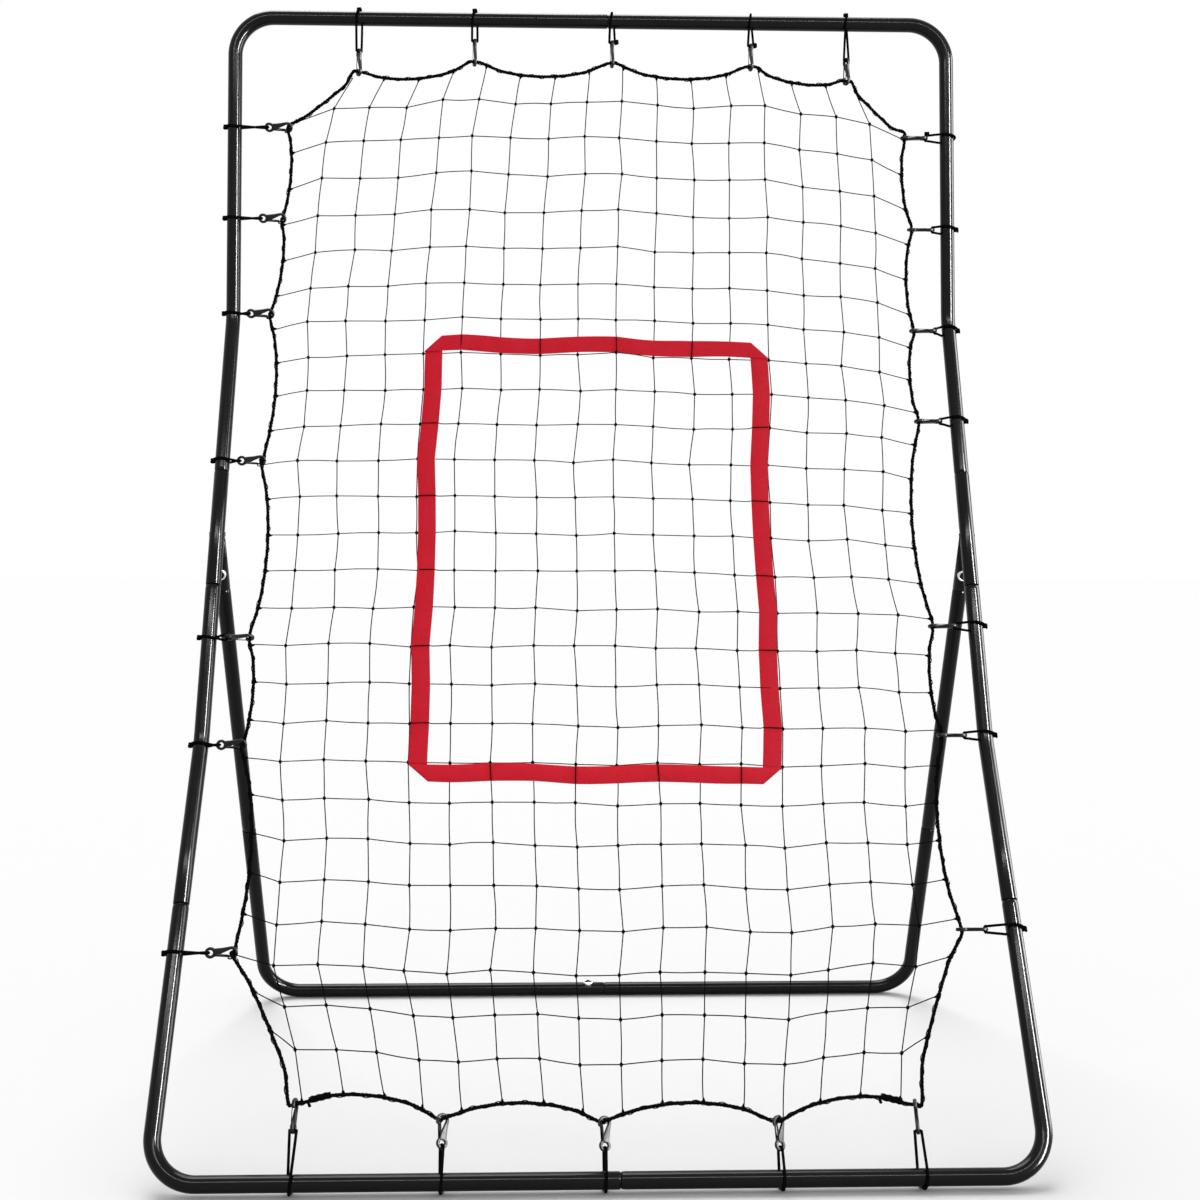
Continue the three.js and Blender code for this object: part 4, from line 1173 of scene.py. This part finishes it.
def strap(corners, steps, bow, tuck):
    """Webbing laid on the net's front. corners: (column, row) of the start and end of the lower
    edge, then of the upper edge. bow lets it lie a little uneven; tuck lowers its tucked-in ends."""
    start_a, end_a, start_b, end_b = (np.array(corner, float) for corner in corners)
    piece = Piece()
    rings = []
    for k in range(steps + 1):
        share = k / steps
        edge_a = start_a + (end_a - start_a) * share
        edge_b = start_b + (end_b - start_b) * share
        sway = bow * math.sin(share * math.pi * 5.3) * 0.02
        ring = []
        for across, up in WEBBING_SECTION:
            column, row = edge_a + (edge_b - edge_a) * across
            lift = WEBBING_LIFT + WEBBING_THICKNESS * up + 0.25 * bow * math.sin(share * 31 + across * 3)
            lift += tuck * max(0.0, 1 - min(share, 1 - share) / 0.03)
            ring.append(net_point(column, row + sway) + net_front(column, row) * lift)
        rings.append(ring)
    piece.rings(rings, np.linspace(0, 1, steps + 1))
    length = np.linalg.norm(net_point(*((start_a + start_b) / 2)) - net_point(*((end_a + end_b) / 2)))
    places = [across for across, _ in WEBBING_SECTION]
    quads = len(WEBBING_SECTION)
    for index in range(steps * quads):
        k, m = divmod(index, quads)
        a, b = places[m], places[(m + 1) % quads]
        u0, u1 = k / steps * length * MM, (k + 1) / steps * length * MM
        v0, v1 = a * WEBBING_WIDTH * MM, b * WEBBING_WIDTH * MM
        piece.uvs[index] = ((u0, v0), (u0, v1), (u1, v1), (u1, v0))
    return piece


# The top and bottom straps start just clear of the mesh's line, and the side straps run on under them
EDGE = 0.03
TUCK = 0.06
STRAPS = {
    "strike_strap_top": (
        [(zone_left, zone_high + EDGE), (zone_right, zone_high + EDGE),
         (zone_left + BAND, zone_high + BAND), (zone_right - BAND, zone_high + BAND)], 90, 1.0, 0.0),
    "strike_strap_bottom": (
        [(zone_left + BAND, zone_low - BAND), (zone_right - BAND, zone_low - BAND),
         (zone_left, zone_low - EDGE), (zone_right, zone_low - EDGE)], 90, -0.8, 0.0),
    "strike_strap_left": (
        [(zone_left + BAND, zone_low - TUCK), (zone_left + BAND, zone_high + TUCK),
         (zone_left + 0.02, zone_low - TUCK), (zone_left + 0.02, zone_high + TUCK)], 110, 0.7, -1.45),
    "strike_strap_right": (
        [(zone_right - 0.02, zone_low - TUCK), (zone_right - 0.02, zone_high + TUCK),
         (zone_right - BAND, zone_low - TUCK), (zone_right - BAND, zone_high + TUCK)], 110, -0.7, -1.45),
}
for name, (corners, steps, bow, tuck) in STRAPS.items():
    strap(corners, steps, bow, tuck).build(f"woven_{name}", webbing, stands_for=[name])

# ---- Hook ties ------------------------------------------------------------------------------


def arc(centre, radius, first, last, step):
    """Points of an arc in the hook's plane, angles in degrees from the pull's direction."""
    count = max(1, round(abs(last - first) / step))
    angles = [math.radians(first + (last - first) * k / count) for k in range(count + 1)]
    return [(centre[0] + radius * math.cos(angle), centre[1] + radius * math.sin(angle)) for angle in angles]


def hook_outline(reach):
    """Flat outline of the hook and of its eye's hole. The rope lies in the far end of the curl."""
    eye = (reach - EYE_FROM_ROPE, 0)
    half = HOOK_WIRE / 2
    curl = (reach - (HOOK_CURL - half - ROPE_RADIUS), 0)
    tip = arc(curl, HOOK_CURL, HOOK_TIP, HOOK_TIP, 1)[0]
    outline = arc(eye, EYE_OUTER, 48, 312, 12)
    outline += arc(curl, HOOK_CURL - half, 122, HOOK_TIP + 6, 12)
    outline += arc(tip, HOOK_BALL, HOOK_TIP + 150, HOOK_TIP + 390, 30)
    outline += arc(curl, HOOK_CURL + half, HOOK_TIP + 24, 106, 12)
    outline += [(curl[0] - 8.5, HOOK_CURL + 0.2)]
    return outline, arc(eye, EYE_HOLE, 0, 340, 20)


def moulded_hook(tie):
    """Flat hook cut from its outline with rounded edges, turned by the tie's twist."""
    outline, hole = hook_outline(tie.reach)
    data = bpy.data.curves.new(f"hook_outline_{tie.name}", "CURVE")
    data.dimensions = "2D"
    data.fill_mode = "BOTH"
    edge = 1.1
    data.bevel_depth = edge * MM
    data.bevel_resolution = 3
    data.extrude = (HOOK_THICKNESS / 2 - edge) * MM
    data.offset = -edge * MM
    for points in (outline, hole):
        spline = data.splines.new("POLY")
        spline.points.add(len(points) - 1)
        for point, place in zip(points, spline.points):
            place.co = (point[0] * MM, point[1] * MM, 0, 1)
        spline.use_cyclic_u = True
    drawn = bpy.data.objects.new(data.name, data)
    show(drawn)
    graph = bpy.context.evaluated_depsgraph_get()
    mesh = bpy.data.meshes.new_from_object(drawn.evaluated_get(graph))
    bpy.data.objects.remove(drawn)
    twist = math.radians(tie.twist)
    plane_y = math.cos(twist) * tie.tube_way + math.sin(twist) * tie.across
    plane_z = math.cos(twist) * tie.across - math.sin(twist) * tie.tube_way
    turn = Matrix((tie.towards, plane_y, plane_z)).transposed().to_4x4()
    mesh.transform(Matrix.Translation(Vector(tie.root * MM)) @ turn)
    shells = bmesh.new()
    shells.from_mesh(mesh)
    bmesh.ops.remove_doubles(shells, verts=shells.verts, dist=1e-6)
    bmesh.ops.recalc_face_normals(shells, faces=shells.faces)
    shells.to_mesh(mesh)
    shells.free()
    mesh.polygons.foreach_set("use_smooth", [True] * len(mesh.polygons))
    return mesh


# Ties whose cord is knotted beside the hook's eye; the others are knotted outside the tube
KNOT_BY_EYE = ("tie_top_3", "tie_top_4", "tie_right_7")


def cord_knot(piece, tie, centre, out, along):
    """Small overhand knot with its two cut ends."""
    cross = np.cross(out, along)
    coil = []
    for step in range(27):
        angle = 2 * math.pi * step / 11
        arm = 1.9 * spoke(angle, out, cross)
        coil.append(tie.place(centre + along * (step - 13) * 0.17 + arm))
    piece.tube(coil, 1.3, sides=8)
    for sign in (1, -1):
        spread = random.uniform(1.4, 2.6) * sign
        length, stray = random.uniform(2.2, 3.0), random.uniform(-1.0, 1.0)
        end = centre + along * spread * 0.7 + out * length + cross * stray
        middle = centre + along * spread * 0.6 + out * 1.8
        tail = smooth_path([tie.place(point) for point in (centre, middle, end)], 4)
        piece.tube(tail, np.linspace(1.35, 1.1, len(tail)), sides=8)


def elastic_loop(tie):
    """Cord that runs round the tube and through the hook's eye, tied to itself."""
    twist = math.radians(tie.twist)
    through = np.array([0, -math.sin(twist), math.cos(twist)])
    eye = tie.reach - EYE_FROM_ROPE
    wall = np.array([eye - (EYE_OUTER + EYE_HOLE) / 2, 0, 0])
    inside = np.array([eye - EYE_HOLE + CORD_RADIUS * 0.9, 0, 0])
    clear = through * (HOOK_THICKNESS / 2 + CORD_RADIUS)
    wrap = CORD_WRAP_RADIUS
    # The bottom ties are knotted behind the tube, clear of the floor
    knot_angle = math.radians(115 if tie.edge == "bottom" else 180)
    leave = math.acos(wrap / max(wall[0], wrap + 2))
    shares = np.linspace(0, 1, 8)
    first, last = knot_angle - 0.2, knot_angle + 0.2 - 2 * math.pi
    points = []
    for share in shares:
        angle = first + (leave - first) * share
        points.append(np.array([wrap * math.cos(angle), clear[1] * 0.85 * share, wrap * math.sin(angle)]))
    points += [wall - X * 1.5 + clear * 1.05, wall + X * 1.4 + clear * 0.95, inside]
    points += [wall + X * 1.4 - clear * 0.95, wall - X * 1.5 - clear * 1.05]
    for share in shares:
        angle = -leave + (last + leave) * share
        along = -clear[1] * 0.85 * (1 - share)
        points.append(np.array([wrap * math.cos(angle), along, wrap * math.sin(angle)]))
    piece = Piece()
    piece.tube(smooth_path([tie.place(point) for point in points], 5), CORD_RADIUS, sides=10)
    out = np.array([math.cos(knot_angle), 0, math.sin(knot_angle)])
    if tie.name in KNOT_BY_EYE:
        cord_knot(piece, tie, wall - clear - unit(through) * 2.0, -through, X)
    else:
        cord_knot(piece, tie, out * (wrap + 0.9), out, Y)
    return piece


braid = braided_cord()
for tie in around:
    elastic_loop(tie).build(f"elastic_{tie.name}", braid)
    hook = bpy.data.objects.new(f"hook_{tie.name}", moulded_hook(tie))
    finished(hook, nylon, stands_for=[tie.name])

# ---- Floor and light ------------------------------------------------------------------------

FLOOR_CORNERS = [(-9, -6, -0.0002), (9, -6, -0.0002), (9, 14, -0.0002), (-9, 14, -0.0002)]
mesh = bpy.data.meshes.new("floor")
mesh.from_pydata(FLOOR_CORNERS, [], [(0, 1, 2, 3)])
ground = bpy.data.objects.new("floor", mesh)
show(ground)
ground.data.materials.append(pale_floor())


def strip_light(name, place, target, size, power):
    """Soft rectangular lamp that draws a stripe on the paint and adds no daylight."""
    data = bpy.data.lights.new(name, "AREA")
    data.shape = "RECTANGLE"
    data.size, data.size_y = size
    data.energy = power
    lamp = bpy.data.objects.new(name, data)
    lamp.location = place
    lamp.rotation_euler = (Vector(target) - Vector(place)).to_track_quat("-Z", "Y").to_euler()
    lamp.visible_diffuse = False
    show(lamp)


strip_light("side_panel", (2.5, 0.3, 0.9), (0, 0, 0.7), (1.0, 2.6), 160)
strip_light("strip_right", (2.1, -1.6, 1.0), (0, 0, 0.7), (0.26, 2.8), 620)
strip_light("strip_top", (0, -2.4, 2.7), (0, 0, 0.2), (3.2, 0.1), 50)

daylight = bpy.data.lights.new("daylight", "SUN")
daylight.energy = 2.6
daylight.angle = math.radians(35)
sun = bpy.data.objects.new("daylight", daylight)
sun.rotation_euler = (math.radians(-24), math.radians(-6), 0)
show(sun)

world = bpy.data.worlds.new("studio")
world.use_nodes = True
world.node_tree.nodes["Background"].inputs["Color"].default_value = (1, 1, 1, 1)
world.node_tree.nodes["Background"].inputs["Strength"].default_value = 1.0
bpy.context.scene.world = world
bpy.context.scene.view_settings.view_transform = "Standard"
